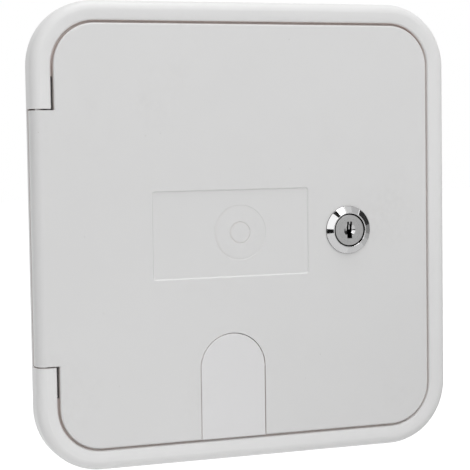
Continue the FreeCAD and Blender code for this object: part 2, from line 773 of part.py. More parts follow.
def build_lid_ribs(body):
    """Two level and two upright stiffening ribs that run from skirt to skirt behind the lid."""
    start = f"({LID_BACK} - {named('rib_height')})"
    left = f"({MOUTH_LEFT} - {SKIRT_INSET})"
    right = f"({MOUTH_RIGHT} + {SKIRT_INSET})"
    top = f"({MOUTH_TOP} + {SKIRT_INSET})"
    half_wall = named("rib_wall / 2")
    rows = new_sketch(body, "XZ_Plane", "rib_rows", offset=start)
    row = named("overall_height / 2 - rib_row_inset")
    for z in (row, minus(row)):
        low, high = f"({z} - {half_wall})", f"({z} + {half_wall})"
        draw_polygon(rows, [(left, low), (right, low), (right, high), (left, high)])
    pad(body, rows, named("rib_height"))
    columns = new_sketch(body, "XZ_Plane", "rib_columns", offset=start)
    for x in (f"({MOUTH_LEFT} + {named('rib_inset_left')})", f"({MOUTH_RIGHT} - {named('rib_inset_right')})"):
        low, high = f"({x} - {half_wall})", f"({x} + {half_wall})"
        draw_polygon(columns, [(low, minus(top)), (high, minus(top)), (high, top), (low, top)])
    pad(body, columns, named("rib_height"))


def build_flap():
    """Arched cable flap that swings on two trunnions level with the middle of its round top."""
    body = new_body("cable_flap")
    plate = new_sketch(body, "XZ_Plane", "plate", offset=LID_BACK)
    draw_arch(plate, named("flap_gap"), minus(LID_TOP))
    pad(body, plate, named("lid_thickness"))
    face = -size_of(FACE)
    fillet(body, named("flap_edge_radius"), lambda edge: lies_at(edge, face))
    rib = new_sketch(body, "XZ_Plane", "rib", offset=f"({LID_BACK} - {named('rib_wall')})")
    reach = named("flap_notch_radius - flap_gap - rib_wall")
    left, right = f"({FLAP_X} - {reach})", f"({FLAP_X} + {reach})"
    high = f"({FLAP_AXIS_Z} - {named('flap_rib_drop')})"
    low = f"({high} - {named('rib_wall')})"
    draw_polygon(rib, [(left, low), (right, low), (right, high), (left, high)])
    pad(body, rib, named("rib_wall"))
    pins = new_sketch(body, "YZ_Plane", "trunnions", offset=FLAP_X)
    draw_circle(pins, minus(FLAP_HEIGHT), FLAP_AXIS_Z, named("trunnion_radius"))
    pad(body, pins, named("2 * flap_notch_radius + 2 * trunnion_reach - 2 * flap_gap"), both_ways=True)


# Lock

def place_lock_piece(body):
    """Put a piece on the axis of the lock."""
    put_at(body, LOCK_X, "0", LOCK_Z)


def draw_turned(sketch, corners):
    """A turned section from (radius, height) corners, with heights counted in front of the wall."""
    draw_polygon(sketch, [(radius, minus(height)) for radius, height in corners])


def bevel_nut(body, flats, height, way):
    """Turn the corners off one end of a hexagon; way is +1 for its front end and -1 for its back end."""
    reach = f"({flats} / 2)"
    past = f"({flats} / 2 / cos(30 deg) + {FAR_CUT})"
    drop = f"({past} - {reach}) * tan({named('nut_bevel')} * 1 deg)"
    section = new_sketch(body, "XY_Plane", "bevel")
    draw_turned(section, [(reach, height), (past, height), (past, f"({height} - {way} * {drop})")])
    revolve(body, section, kind="Groove")


def build_lock_housing():
    """Polished bevelled ring and threaded barrel."""
    body = new_body("lock_housing")
    section = new_sketch(body, "XY_Plane", "section")
    end = minus(named("lock_barrel_end"))
    shoulder = named("face_height + lock_ring_height - plug_recess - plug_head_depth")
    edge = named("face_height + lock_ring_edge")
    front = named("face_height + lock_ring_height")
    bore = named("plug_radius + plug_fit")
    draw_turned(
        section,
        [
            (bore, end),
            (named("lock_barrel_radius"), end),
            (named("lock_barrel_radius"), FACE),
            (named("lock_ring_radius"), FACE),
            (named("lock_ring_radius"), edge),
            (named("lock_lip_radius"), front),
            (named("lock_mouth_radius"), front),
            (named("lock_mouth_radius"), shoulder),
            (bore, shoulder),
        ],
    )
    revolve(body, section)
    lip, rim = -size_of(front), -size_of(edge)
    fillet(body, named("lock_ring_round"), lambda line: lies_at(line, lip) or lies_at(line, rim))
    place_lock_piece(body)


def build_lock_nut():
    """Hexagon nut that clamps the barrel to the lid."""
    body = new_body("lock_nut")
    back = f"({LID_BACK} - {named('lock_nut_height')})"
    outline = new_sketch(body, "XZ_Plane", "outline", offset=back)
    draw_hexagon(outline, named("lock_nut_flats"))
    draw_circle(outline, "0", "0", named("lock_barrel_radius + plug_fit"))
    pad(body, outline, named("lock_nut_height"))
    bevel_nut(body, named("lock_nut_flats"), back, -1)
    place_lock_piece(body)


def build_lock_plug():
    """Turning plug with a dished key slot in front and a tail for the cam behind."""
    body = new_body("lock_plug")
    front = named("face_height + lock_ring_height - plug_recess")
    shoulder = named("face_height + lock_ring_height - plug_recess - plug_head_depth + plug_fit")
    seat = minus(named("strike_clearance"))
    cam_back = minus(named("strike_clearance + cam_thickness"))
    tip = minus(named("strike_clearance + cam_thickness + cam_nut_height + tail_thread_radius / 4"))
    section = new_sketch(body, "XY_Plane", "section")
    draw_turned(
        section,
        [
            ("0", tip),
            (named("tail_thread_radius"), tip),
            (named("tail_thread_radius"), cam_back),
            (named("tail_radius"), cam_back),
            (named("tail_radius"), seat),
            (named("plug_radius"), seat),
            (named("plug_radius"), shoulder),
            (named("plug_head_radius"), shoulder),
            (named("plug_head_radius"), front),
            ("0", front),
        ],
    )
    revolve(body, section)
    head = -size_of(front)
    fillet(body, named("lock_ring_round"), lambda line: lies_at(line, head))
    dish = new_sketch(body, "XY_Plane", "dish")
    draw_turned(
        dish,
        [
            ("0", f"({front} - {named('plug_dish_depth')})"),
            (named("plug_dish_radius - plug_dish_wall"), f"({front} - {named('plug_dish_depth')})"),
            (named("plug_dish_radius"), front),
            ("0", front),
        ],
    )
    revolve(body, dish, kind="Groove")
    slot = new_sketch(body, "XZ_Plane", "key_slot", offset=front)
    half_width, half_height = named("key_slot_width / 2"), named("key_slot_height / 2")
    half_ward, ward_foot = named("key_ward_width / 2"), named("key_slot_height / 2 - key_ward_height")
    draw_polygon(
        slot,
        [
            (half_width, half_height),
            (half_ward, half_height),
            (half_ward, ward_foot),
            (minus(half_ward), ward_foot),
            (minus(half_ward), half_height),
            (minus(half_width), half_height),
            (minus(half_width), minus(half_height)),
            (half_width, minus(half_height)),
        ],
    )
    pocket(body, slot, named("key_slot_depth"))
    place_lock_piece(body)


def build_lock_cam():
    """Flat cam on the tail of the plug, hanging down while the lock is open."""
    body = new_body("lock_cam")
    blade = new_sketch(body, "XZ_Plane", "blade", offset=minus(named("strike_clearance + cam_thickness")))
    half_width = named("cam_width / 2")
    draw_rectangle(
        blade, minus(half_width), half_width, minus(named("cam_length")), named("cam_heel"), named("cam_corner")
    )
    draw_circle(blade, "0", "0", named("tail_radius + plug_fit"))
    pad(body, blade, named("cam_thickness"))
    place_lock_piece(body)
    nut = new_body("cam_nut")
    back = minus(named("strike_clearance + cam_thickness + cam_nut_height"))
    outline = new_sketch(nut, "XZ_Plane", "outline", offset=back)
    draw_hexagon(outline, named("cam_nut_flats"))
    draw_circle(outline, "0", "0", named("tail_thread_radius + plug_fit"))
    pad(nut, outline, named("cam_nut_height"))
    bevel_nut(nut, named("cam_nut_flats"), back, -1)
    place_lock_piece(nut)


# Recess housing and inlet

PANEL_OUT_Y = named("inlet_y")
PANEL_OUT_Z = f"({MOUTH_TOP} - {named('inlet_drop')})"
TILT = named("panel_tilt")
PANEL_IN_Y = f"({PANEL_OUT_Y} - {named('housing_wall')} * cos({TILT} * 1 deg))"
PANEL_IN_Z = f"({PANEL_OUT_Z} - {named('housing_wall')} * sin({TILT} * 1 deg))"


def draw_tub(body, growth, depth, panel_y, panel_z, back_radius):
    """A drafted block of the recess's outline, cut off along the sloping panel and rounded at the back."""
    outline = new_sketch(body, "XZ_Plane", "outline", offset=named("housing_seat"))
    draw_recess(outline, growth)
    block = pad(body, outline, f"({depth} + {named('housing_seat')})", backwards=True)
    slope(block, named("housing_draft"))
    panel = new_sketch(body, "YZ_Plane", "panel")
    above = f"({MOUTH_TOP} + {named('side_lip')} + {growth} + {FAR_CUT})"
    behind = f"({depth} + {FAR_CUT})"
    slope_top = f"({panel_y} - ({above} - {panel_z}) * tan({TILT} * 1 deg))"
    slope_foot = f"({panel_z} - ({behind} - {panel_y}) / tan({TILT} * 1 deg))"
    draw_polygon(panel, [(slope_top, above), (behind, slope_foot), (behind, above)])
    pocket(body, panel, named("2 * overall_width"), both_ways=True)
    near_front = size_of(f"{depth} / 4")
    fillet(body, back_radius, lambda edge: edge.BoundBox.YMin > near_front)


def build_housing():
    """Moulded tub behind the wall, with a sloping panel for the inlet at its upper rear."""
    cavity = doc.addObject("PartDesign::Body", "housing_cavity")
    inner_depth = named("housing_depth - housing_wall")
    inner_radius = named("housing_back_radius - housing_wall")
    draw_tub(cavity, "0", inner_depth, PANEL_IN_Y, PANEL_IN_Z, inner_radius)
    body = new_body("recess_housing")
    draw_tub(
        body,
        HOUSING_GROWTH,
        named("housing_depth"),
        PANEL_OUT_Y,
        PANEL_OUT_Z,
        named("housing_back_radius"),
    )
    hollow = body.newObject("PartDesign::Boolean", "recess_housing_hollow")
    hollow.Type = "Cut"
    hollow.Group = [cavity]
    doc.recompute()
    hole = new_sketch(body, "XZ_Plane", "inlet_hole")
    turn = FreeCAD.Rotation(FreeCAD.Vector(1, 0, 0), size_of(TILT))
    hole.AttachmentOffset = FreeCAD.Placement(FreeCAD.Vector(), turn)
    hole.setExpression("AttachmentOffset.Base.x", MOUTH_MIDDLE)
    hole.setExpression("AttachmentOffset.Base.y", PANEL_OUT_Z)
    hole.setExpression("AttachmentOffset.Base.z", minus(PANEL_OUT_Y))
    hole.setExpression("AttachmentOffset.Rotation.Angle", f"{TILT} * 1 deg")
    draw_circle(hole, "0", "0", named("neck_radius + neck_fit"))
    pocket(body, hole, named("4 * housing_wall"), both_ways=True)


def place_inlet_piece(body):
    """Put a piece on the axis of the inlet, with height 0 on the inner face of the sloping panel."""
    put_at(body, MOUTH_MIDDLE, PANEL_IN_Y, PANEL_IN_Z, tilt=TILT)


def draw_inlet_square(sketch):
    """The square flange of the inlet."""
    half = named("inlet_flange / 2")
    draw_rectangle(sketch, minus(half), half, minus(half), half, named("inlet_flange_radius"))


def build_inlet():
    """Inlet body with its gasket, contact carrier and three contact pins."""
    gasket = new_body("inlet_gasket")
    ring = new_sketch(gasket, "XZ_Plane", "ring")
    draw_inlet_square(ring)
    draw_circle(ring, "0", "0", named("neck_radius + neck_fit"))
    pad(gasket, ring, named("gasket_height"))
    place_inlet_piece(gasket)

    body = new_body("inlet_body")
    seat = named("gasket_height")
    floor = named("gasket_height + inlet_flange_height")
    flange = new_sketch(body, "XZ_Plane", "flange", offset=seat)
    draw_inlet_square(flange)
    draw_circle(flange, "0", "0", named("carrier_radius"))
    pad(body, flange, named("inlet_flange_height"))
    front, bore = -size_of(floor), size_of(named("carrier_radius"))
    fillet(
        body,
        named("inlet_flange_round"),
        lambda edge: lies_at(edge, front) and not is_ring(edge, bore),
    )
    shroud = new_sketch(body, "XZ_Plane", "shroud", offset=floor)
    draw_circle(shroud, "0", "0", named("shroud_radius"))
    draw_circle(shroud, "0", "0", named("shroud_radius - shroud_wall"))
    pad(body, shroud, named("shroud_length"))
    ridge = new_sketch(body, "XZ_Plane", "keyway_ridge", offset=floor)
    inner = minus(named("shroud_radius - shroud_wall / 2"))
    outer = minus(named("shroud_radius - shroud_wall + keyway_depth + keyway_wall"))
    half_ridge = named("keyway_width / 2 + keyway_wall")
    draw_polygon(
        ridge,
        [(minus(half_ridge), outer), (half_ridge, outer), (half_ridge, inner), (minus(half_ridge), inner)],
    )
    pad(body, ridge, named("shroud_length"))
    keyway = new_sketch(body, "XZ_Plane", "keyway", offset=f"({floor} + {named('shroud_length')})")
    deep = minus(named("shroud_radius - shroud_wall + keyway_depth"))
    shallow = minus(named("shroud_radius - 2 * shroud_wall"))
    half_key = named("keyway_width / 2")
    draw_polygon(
        keyway,
        [(minus(half_key), deep), (half_key, deep), (half_key, shallow), (minus(half_key), shallow)],
    )
    pocket(body, keyway, named("shroud_length"))
    neck = new_sketch(body, "XZ_Plane", "neck", offset=seat)
    draw_circle(neck, "0", "0", named("neck_radius"))
    draw_circle(neck, "0", "0", named("carrier_radius"))
    pad(body, neck, named("gasket_height + housing_wall + neck_reach"), backwards=True)
    place_inlet_piece(body)
    build_contacts(floor)


def build_contacts(floor):
    """Contact carrier and the line, neutral and earth pins."""
    carrier = new_body("contact_carrier")
    back = minus(named("housing_wall + neck_reach"))
    front = f"({floor} + {named('carrier_height')})"
    ring = named("pin_circle_radius")
    spots = {
        "contact_pin_line": (f"(0 - {ring} * cos(30 deg))", f"({ring} / 2)", named("power_pin_radius")),
        "contact_pin_neutral": (f"({ring} * cos(30 deg))", f"({ring} / 2)", named("power_pin_radius")),
        "contact_pin_earth": ("0", minus(ring), named("earth_pin_radius")),
    }
    disc = new_sketch(carrier, "XZ_Plane", "disc", offset=back)
    draw_circle(disc, "0", "0", named("carrier_radius - carrier_fit"))
    for x, z, radius in spots.values():
        draw_circle(disc, x, z, f"({radius} + {named('contact_fit')})")
    pad(carrier, disc, f"({front} - {back})")
    place_inlet_piece(carrier)
    for name, (x, z, radius) in spots.items():
        pin = new_body(name)
        rod = new_sketch(pin, "XZ_Plane", "rod", offset=f"({back} - {named('contact_tail')})")
        draw_circle(rod, x, z, radius)
        pad(pin, rod, f"({front} - {back} + {named('contact_length + contact_tail')})")
        tip = pin.Tip.Shape.BoundBox.YMin
        fillet(pin, f"({radius} / 3)", lambda edge, tip=tip: lies_at(edge, tip))
        place_inlet_piece(pin)


def build_wiring_cover():
    """Cover over the inlet's terminals, and the cable gland in its end."""
    cover = new_body("terminal_cover")
    top = minus(named("housing_wall"))
    end = minus(named("housing_wall + cover_depth"))
    outer, wall, chamfer = named("cover_radius"), named("cover_wall"), named("cover_chamfer")
    hole = named("gland_thread_radius + gland_fit")
    section = new_sketch(cover, "XY_Plane", "section")
    draw_turned(
        section,
        [
            (f"({outer} - {wall})", top),
            (outer, top),
            (outer, f"({end} + {chamfer})"),
            (f"({outer} - {chamfer})", end),
            (hole, end),
            (hole, f"({end} + {wall})"),
            (f"({outer} - {chamfer} - {wall} * tan(22.5 deg))", f"({end} + {wall})"),
            (f"({outer} - {wall})", f"({end} + {chamfer} + {wall} * tan(22.5 deg))"),
        ],
    )
    revolve(cover, section)
    place_inlet_piece(cover)
    build_gland(end)


def build_gland(end):
    """Cable gland with its hexagon collar, and the domed nut on its thread."""
    gland = new_body("cable_gland")
    bore, thread = named("gland_bore_radius"), named("gland_thread_radius")
    inside = f"({end} + {named('cover_wall + gland_tail')})"
    collar_end = f"({end} - {named('gland_collar_height')})"
    tip = f"({collar_end} - {named('gland_length')})"
    section = new_sketch(gland, "XY_Plane", "section")
    draw_turned(section, [(bore, inside), (thread, inside), (thread, tip), (bore, tip)])
    revolve(gland, section)
    collar = new_sketch(gland, "XZ_Plane", "collar", offset=collar_end)
    draw_hexagon(collar, named("gland_collar_flats"))
    draw_circle(collar, "0", "0", f"({bore} + {named('gland_fit')})")
    pad(gland, collar, named("gland_collar_height"))
    bevel_nut(gland, named("gland_collar_flats"), collar_end, -1)
    place_inlet_piece(gland)
    nut = new_body("gland_nut")
    inner = named("gland_thread_radius + gland_fit")
    outer = named("gland_thread_radius + gland_nut_wall")
    start = f"({collar_end} - {named('gland_fit')})"
    shoulder = f"({start} - {named('gland_nut_length')})"
    dome = f"({shoulder} - {named('gland_nut_end')})"
    nut_section = new_sketch(nut, "XY_Plane", "section")
    draw_turned(
        nut_section,
        [
            (inner, start),
            (outer, start),
            (outer, shoulder),
            (named("gland_bore_radius + gland_nut_wall"), dome),
            (bore, dome),
            (bore, f"({shoulder} + {named('gland_nut_end / 2')})"),
            (inner, f"({shoulder} + {named('gland_nut_end / 2')})"),
        ],
    )
    revolve(nut, nut_section)
    grips = new_sketch(nut, "XZ_Plane", "grips", offset=start)
    for turn in range(GRIP_COUNT):
        angle = turn * FULL_TURN / GRIP_COUNT
        draw_circle(grips, f"({outer} * cos({angle} deg))", f"({outer} * sin({angle} deg))", named("grip_radius"))
    pocket(nut, grips, named("gland_nut_length"))
    place_inlet_piece(nut)


def main():
    """Build every sub-part, check the document and write one file for each sub-part."""
    build_frame()
    build_seal()
    build_hinge_pin()
    build_lid()
    build_flap()
    build_lock_housing()
    build_lock_nut()
    build_lock_plug()
    build_lock_cam()
    build_housing()
    build_inlet()
    build_wiring_cover()
    doc.recompute()
    for item in doc.Objects:
        assert "Invalid" not in item.State and "Error" not in item.State, f"{item.Name}: {item.State}"
    for subpart in SUBPARTS:
        shape = subpart.Shape
        assert not shape.isNull() and shape.isValid(), f"{subpart.Label} has no valid shape"
        assert len(shape.Solids) == 1, f"{subpart.Label} is {len(shape.Solids)} solids"
    os.makedirs("parts", exist_ok=True)
    for subpart in SUBPARTS:
        subpart.Shape.exportStep(f"parts/{subpart.Label}.step")
        box = subpart.Shape.BoundBox
        print(f"{subpart.Label}: {subpart.Shape.Volume:.0f} mm3, {len(subpart.Shape.Faces)} faces, {box}")


main()
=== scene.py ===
"""Looks of the caravan power inlet hatch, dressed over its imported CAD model.

Everything is in metres in the frame of the CAD model: the wall plane is y = 0, the hatch faces -Y, +X is to
the right and +Z is up. Sizes that are easier to read in millimetres are written as a number times MM.
"""

import json
import logging
import math
from dataclasses import dataclass
from enum import Enum
from typing import Callable, Dict, List, Optional, Sequence, Tuple, Union

import bmesh
import bpy
from mathutils import Matrix, Vector

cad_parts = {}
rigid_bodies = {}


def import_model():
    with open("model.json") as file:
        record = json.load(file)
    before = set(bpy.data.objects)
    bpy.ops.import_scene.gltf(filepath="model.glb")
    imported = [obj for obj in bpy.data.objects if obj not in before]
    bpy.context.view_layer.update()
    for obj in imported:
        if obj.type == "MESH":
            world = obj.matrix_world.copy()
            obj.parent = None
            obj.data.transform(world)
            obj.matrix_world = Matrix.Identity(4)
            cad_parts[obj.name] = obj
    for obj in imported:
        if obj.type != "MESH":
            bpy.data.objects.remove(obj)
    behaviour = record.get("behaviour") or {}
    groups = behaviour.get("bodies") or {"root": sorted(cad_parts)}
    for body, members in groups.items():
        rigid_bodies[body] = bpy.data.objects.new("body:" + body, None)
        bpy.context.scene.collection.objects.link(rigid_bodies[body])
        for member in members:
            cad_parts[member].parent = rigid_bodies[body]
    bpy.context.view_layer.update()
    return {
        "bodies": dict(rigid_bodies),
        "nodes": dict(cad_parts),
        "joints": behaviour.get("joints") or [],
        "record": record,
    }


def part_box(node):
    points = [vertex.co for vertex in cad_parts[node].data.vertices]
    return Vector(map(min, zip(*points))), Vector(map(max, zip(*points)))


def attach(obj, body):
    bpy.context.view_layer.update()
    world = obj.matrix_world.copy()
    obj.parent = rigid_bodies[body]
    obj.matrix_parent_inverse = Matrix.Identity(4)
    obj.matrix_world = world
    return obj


MM = 0.001
LOG = logging.getLogger("hatch")

# Points of a mesh that are nearer than this become one
WELD = 0.0005 * MM
CARD_WELD = 0.01 * MM
SMOOTH_DEGREES = 35.0
BEVEL_STEPS = 2
BEVEL_PROFILE = 0.6

# The turn that sends a shape's Z axis into the wall
INTO_WALL = Matrix.Rotation(math.radians(-90.0), 4, "X")

# Most values of a noise texture lie between these two
NOISE_LOW = 0.3
NOISE_MIDDLE = 0.5
NOISE_HIGH = 0.7

# Sockets of the mix node that are for colours
MIX_FACTOR, MIX_FIRST, MIX_SECOND, MIX_RESULT = 0, 6, 7, 2

WHITE = (1.0, 1.0, 1.0)

Colour = Tuple[float, float, float]
Point = Tuple[float, float, float]
Tree = bpy.types.NodeTree
Node = bpy.types.Node
Socket = bpy.types.NodeSocket
Input = Union[Socket, float]
Source = Union[Input, Colour, Vector]
Material = bpy.types.Material
Mesh = bpy.types.Mesh
Thing = bpy.types.Object
Shape = bmesh.types.BMesh


class Body(Enum):
    """Bodies of the CAD model that a piece can ride on."""

    FRAME = "fixed_frame"
    LID = "hinged_lid"
    LOCK = "turning_lock"


class Look(Enum):
    """Finishes of the hatch, each with its own name and its material slot in the record."""

    FRAME = ("frame_moulding", "white_plastic")
    LID = ("lid_moulding", "white_plastic")
    FLAP = ("flap_moulding", "white_plastic")
    RUBBER = ("black_rubber", "seal_rubber")
    HINGE = ("drawn_steel", "hinge_steel")
    TUB = ("tub_moulding", "housing_plastic")
    INLET = ("inlet_moulding", "inlet_plastic")
    CARRIER = ("carrier_moulding", "carrier_plastic")
    CONTACT = ("nickel_plate", "contact_metal")
    COVER = ("cover_moulding", "cover_plastic")
    GLAND = ("gland_moulding", "gland_plastic")
    CHROME = ("bright_chrome", "lock_chrome")
    SATIN = ("turned_satin", "lock_satin")
    ZINC = ("zinc_plate", "lock_zinc")

    def __init__(self, title: str, slot: str) -> None:
        """Keep the material's name and its slot."""
        self.title = title
        self.slot = slot


class Effect(Enum):
    """Shader effects that several finishes share."""

    GRAIN = "moulded_grain"
    MOTTLE = "colour_mottle"
    # Painted light and shade in narrow gaps, found by ambient occlusion
    GAP_SHADING = "crevice_tint"
    SPECKS = "settled_specks"
    TURNING = "turning_marks"
    SCUFFS = "hairline_scuffs"
    SMEARS = "handling_smears"


class Ray(Enum):
    """Kinds of rays that an object of the studio can be hidden from."""

    CAMERA = "visible_camera"
    DIFFUSE = "visible_diffuse"
    GLOSSY = "visible_glossy"
    TRANSMISSION = "visible_transmission"
    SCATTER = "visible_volume_scatter"
    SHADOW = "visible_shadow"


# Shader trees


class Graph:
    """A shader node tree with short ways to add and join nodes."""

    def __init__(self, tree: Tree) -> None:
        """Wrap the tree of a material, a world or a node group."""
        self.tree = tree

    @classmethod
    def empty(cls, owner: Union[Material, bpy.types.World]) -> "Graph":
        """Give a material or a world an empty tree.

        Args:
            owner: The material or the world.

        Returns:
            The wrapped tree.
        """
        owner.use_nodes = True
        owner.node_tree.nodes.clear()
        return cls(owner.node_tree)

    def add(
        self, kind: str, inputs: Optional[Dict[Union[str, int], Source]] = None, **settings: object
    ) -> Node:
        """Add a node.

        Args:
            kind: The node's type, such as ShaderNodeMath.
            inputs: What goes into its sockets, by their names or numbers.
            settings: Properties to set on the node.

        Returns:
            The new node.
        """
        node = self.tree.nodes.new(kind)
        for name, value in settings.items():
            setattr(node, name, value)
        for name, source in (inputs or {}).items():
            self.feed(node.inputs[name], source)
        return node

    def feed(self, target: Socket, source: Source) -> None:
        """Link a socket into another, or set a plain value on it.

        Args:
            target: The input socket.
            source: An output socket, a number, a colour or a vector.
        """
        if isinstance(source, bpy.types.NodeSocket):
            self.tree.links.new(source, target)
        elif target.type == "RGBA":
            target.default_value = (*source, 1.0)
        else:
            target.default_value = source

    def show(self, shader: Node, output: str = "ShaderNodeOutputMaterial") -> None:
        """Feed a shader into a new output node."""
        self.add(output, {"Surface": shader.outputs[0]})

    def math(self, operation: str, first: Input, second: Input = 0.0, clamp: bool = False) -> Socket:
        """The result of a math node on two values, kept between 0 and 1 if clamp is set."""
        inputs = {0: first, 1: second}
        return self.add("ShaderNodeMath", inputs, operation=operation, use_clamp=clamp).outputs[0]

    def vector_math(self, operation: str, *vectors: Union[Socket, Vector]) -> Node:
        """Add a vector math node on one or two vectors."""
        return self.add("ShaderNodeVectorMath", dict(enumerate(vectors)), operation=operation)

    def mix(self, factor: Input, first: Union[Socket, Colour], second: Union[Socket, Colour]) -> Socket:
        """The mix of two colours, where the factor is the share of the second one."""
        inputs = {MIX_FACTOR: factor, MIX_FIRST: first, MIX_SECOND: second}
        return self.add("ShaderNodeMix", inputs, data_type="RGBA").outputs[MIX_RESULT]

    def spread(
        self, value: Socket, low: Input, high: Input, to_low: float = 0.0, to_high: float = 1.0
    ) -> Socket:
        """The value mapped so that low gives to_low and high gives to_high, and stopped at these ends."""
        inputs = dict(enumerate((value, low, high, to_low, to_high)))
        return self.add("ShaderNodeMapRange", inputs, clamp=True).outputs[0]

    def sway(self, noise: Socket, centre: float, swing: float) -> Socket:
        """Let a value sway with a noise, by a swing to both sides of its centre."""
        return self.spread(noise, NOISE_LOW, NOISE_HIGH, centre - swing, centre + swing)

    def noise(self, place: Socket, scale: Input, detail: float = 2.0, roughness: float = 0.5) -> Socket:
        """A noise with its features to a metre, and the number and strength of its finer layers."""
        inputs = {"Vector": place, "Scale": scale, "Detail": detail, "Roughness": roughness}
        return self.add("ShaderNodeTexNoise", inputs).outputs[0]

    def place(self) -> Socket:
        """The point on the object in its own frame, which is the CAD frame for a piece of the hatch."""
        return self.add("ShaderNodeTexCoord").outputs["Object"]


class EffectShelf:
    """Shader node groups, each built once and placed in every material that uses it."""

    coarse_share = 0.65
    fine_step = 2.7
    hollow_range = (0.52, 0.36)
    # Which way walls with a second colour of painted light and shade face, and how that colour spreads
    upper_way = Vector((-0.6, 0.0, 0.8))
    upper_range = (-0.3, 0.6)
    speck_rarity = 0.8
    across_y = Vector((1.0, 0.0, 1.0))
    scuff_lines = ((0.6, 0.05), (-0.9, 0.08))
    scuff_range = (0.62, 0.74)
    smear_range = (0.56, 0.76)
    smear_break = 14.0

    def __init__(self) -> None:
        """Start with no group built."""
        self.groups: Dict[Effect, Tree] = {}
        self.makers: Dict[Effect, Callable[[], Tree]] = {
            Effect.GRAIN: self.make_grain,
            Effect.MOTTLE: self.make_mottle,
            Effect.GAP_SHADING: self.make_gap_shading,
            Effect.SPECKS: self.make_specks,
            Effect.TURNING: self.make_turning,
            Effect.SCUFFS: self.make_scuffs,
            Effect.SMEARS: self.make_smears,
        }

    def put(self, graph: Graph, effect: Effect, **values: Source) -> Node:
        """Place an effect in a material.

        Args:
            graph: The material's tree.
            effect: The effect.
            values: Its inputs by name.

        Returns:
            The group node.
        """
        if effect not in self.groups:
            self.groups[effect] = self.makers[effect]()
        return graph.add("ShaderNodeGroup", values, node_tree=self.groups[effect])

    @staticmethod
    def start(
        effect: Effect, inputs: Sequence[Tuple[str, str]], outputs: Sequence[Tuple[str, str]]
    ) -> Tuple[Graph, Node, Node]:
        """Start a group with its named sockets.

        Args:
            effect: The effect that names the group.
            inputs: Name and kind of each input.
            outputs: Name and kind of each output.

        Returns:
            The group's tree, its input node and its output node.
        """
        tree = bpy.data.node_groups.new(effect.value, "ShaderNodeTree")
        for way, sockets in (("INPUT", inputs), ("OUTPUT", outputs)):
            for name, kind in sockets:
                tree.interface.new_socket(name=name, in_out=way, socket_type=f"NodeSocket{kind}")
        graph = Graph(tree)
        return graph, graph.add("NodeGroupInput"), graph.add("NodeGroupOutput")

    def make_grain(self) -> Tree:
        """Build the fine eroded grain of a moulding tool.

        Returns:
            The group, with a height and a mask of its hollows.
        """
        graph, given, result = self.start(
            Effect.GRAIN, [("Scale", "Float")], [("Height", "Float"), ("Hollows", "Float")]
        )
        place = graph.place()
        coarse = graph.noise(place, given.outputs["Scale"], detail=3.0, roughness=0.65)
        fine = graph.noise(place, graph.math("MULTIPLY", given.outputs["Scale"], self.fine_step))
        coarse_part = graph.math("MULTIPLY", coarse, self.coarse_share)
        fine_part = graph.math("MULTIPLY", fine, 1.0 - self.coarse_share)
        height = graph.math("ADD", coarse_part, fine_part)
        graph.feed(result.inputs["Height"], height)
        graph.feed(result.inputs["Hollows"], graph.spread(height, *self.hollow_range))
        return graph.tree

    def make_mottle(self) -> Tree:
        """Build the slow change of shade over a moulding.

        Returns:
            The group, with the changed colour and the shade itself.
        """
        graph, given, result = self.start(
            Effect.MOTTLE,
            [("Colour", "Color"), ("Scale", "Float"), ("Amount", "Float")],
            [("Colour", "Color"), ("Shade", "Float")],
        )
        shade = graph.noise(graph.place(), given.outputs["Scale"], detail=4.0, roughness=0.6)
        swing = graph.math("MULTIPLY", graph.math("SUBTRACT", shade, NOISE_MIDDLE), given.outputs["Amount"])
        tinted = graph.vector_math("SCALE", given.outputs["Colour"])
        graph.feed(tinted.inputs["Scale"], graph.math("ADD", swing, 1.0))
        graph.feed(result.inputs["Colour"], tinted.outputs[0])
        graph.feed(result.inputs["Shade"], shade)
        return graph.tree

    def make_gap_shading(self) -> Tree:
        """Build painted light and shade in narrow gaps, found by ambient occlusion, with another colour for
        walls facing up and left.

        Returns:
            The group, with the colour under its painted light and shade.
        """
        colours = [(name, "Color") for name in ("Colour", "Tint", "Upper")]
        numbers = [(name, "Float") for name in ("Reach", "Open", "Shut", "Amount")]
        graph, given, result = self.start(Effect.GAP_SHADING, colours + numbers, [("Colour", "Color")])
        # Painted shade, or painted light where the colour is paler, wherever ambient occlusion finds narrow
        # gaps
        light = graph.add("ShaderNodeAmbientOcclusion", {"Distance": given.outputs["Reach"]}, samples=8)
        depth = graph.spread(light.outputs["AO"], given.outputs["Open"], given.outputs["Shut"])
        mask = graph.math("MULTIPLY", depth, given.outputs["Amount"], clamp=True)
        # Walls facing up and to the left get a second colour of painted light and shade
        facing = graph.add("ShaderNodeTexCoord").outputs["Normal"]
        upward = graph.vector_math("DOT_PRODUCT", facing, self.upper_way).outputs["Value"]
        upper_shading = graph.spread(upward, *self.upper_range)
        shading_colour = graph.mix(upper_shading, given.outputs["Tint"], given.outputs["Upper"])
        graph.feed(result.inputs["Colour"], graph.mix(mask, given.outputs["Colour"], shading_colour))
        return graph.tree

    def make_specks(self) -> Tree:
        """Build a few settled specks of dust.

        Returns:
            The group, with the mask of the specks.
        """
        graph, given, result = self.start(
            Effect.SPECKS, [("Scale", "Float"), ("Size", "Float")], [("Mask", "Float")]
        )
        inputs = {"Vector": graph.place(), "Scale": given.outputs["Scale"]}
        cells = graph.add("ShaderNodeTexVoronoi", inputs, feature="F1")
        near = graph.math("LESS_THAN", cells.outputs["Distance"], given.outputs["Size"])
        chance = graph.add("ShaderNodeSeparateColor", {0: cells.outputs["Color"]})
        picked = graph.math("GREATER_THAN", chance.outputs[0], self.speck_rarity)
        graph.feed(result.inputs["Mask"], graph.math("MULTIPLY", near, picked))
        return graph.tree

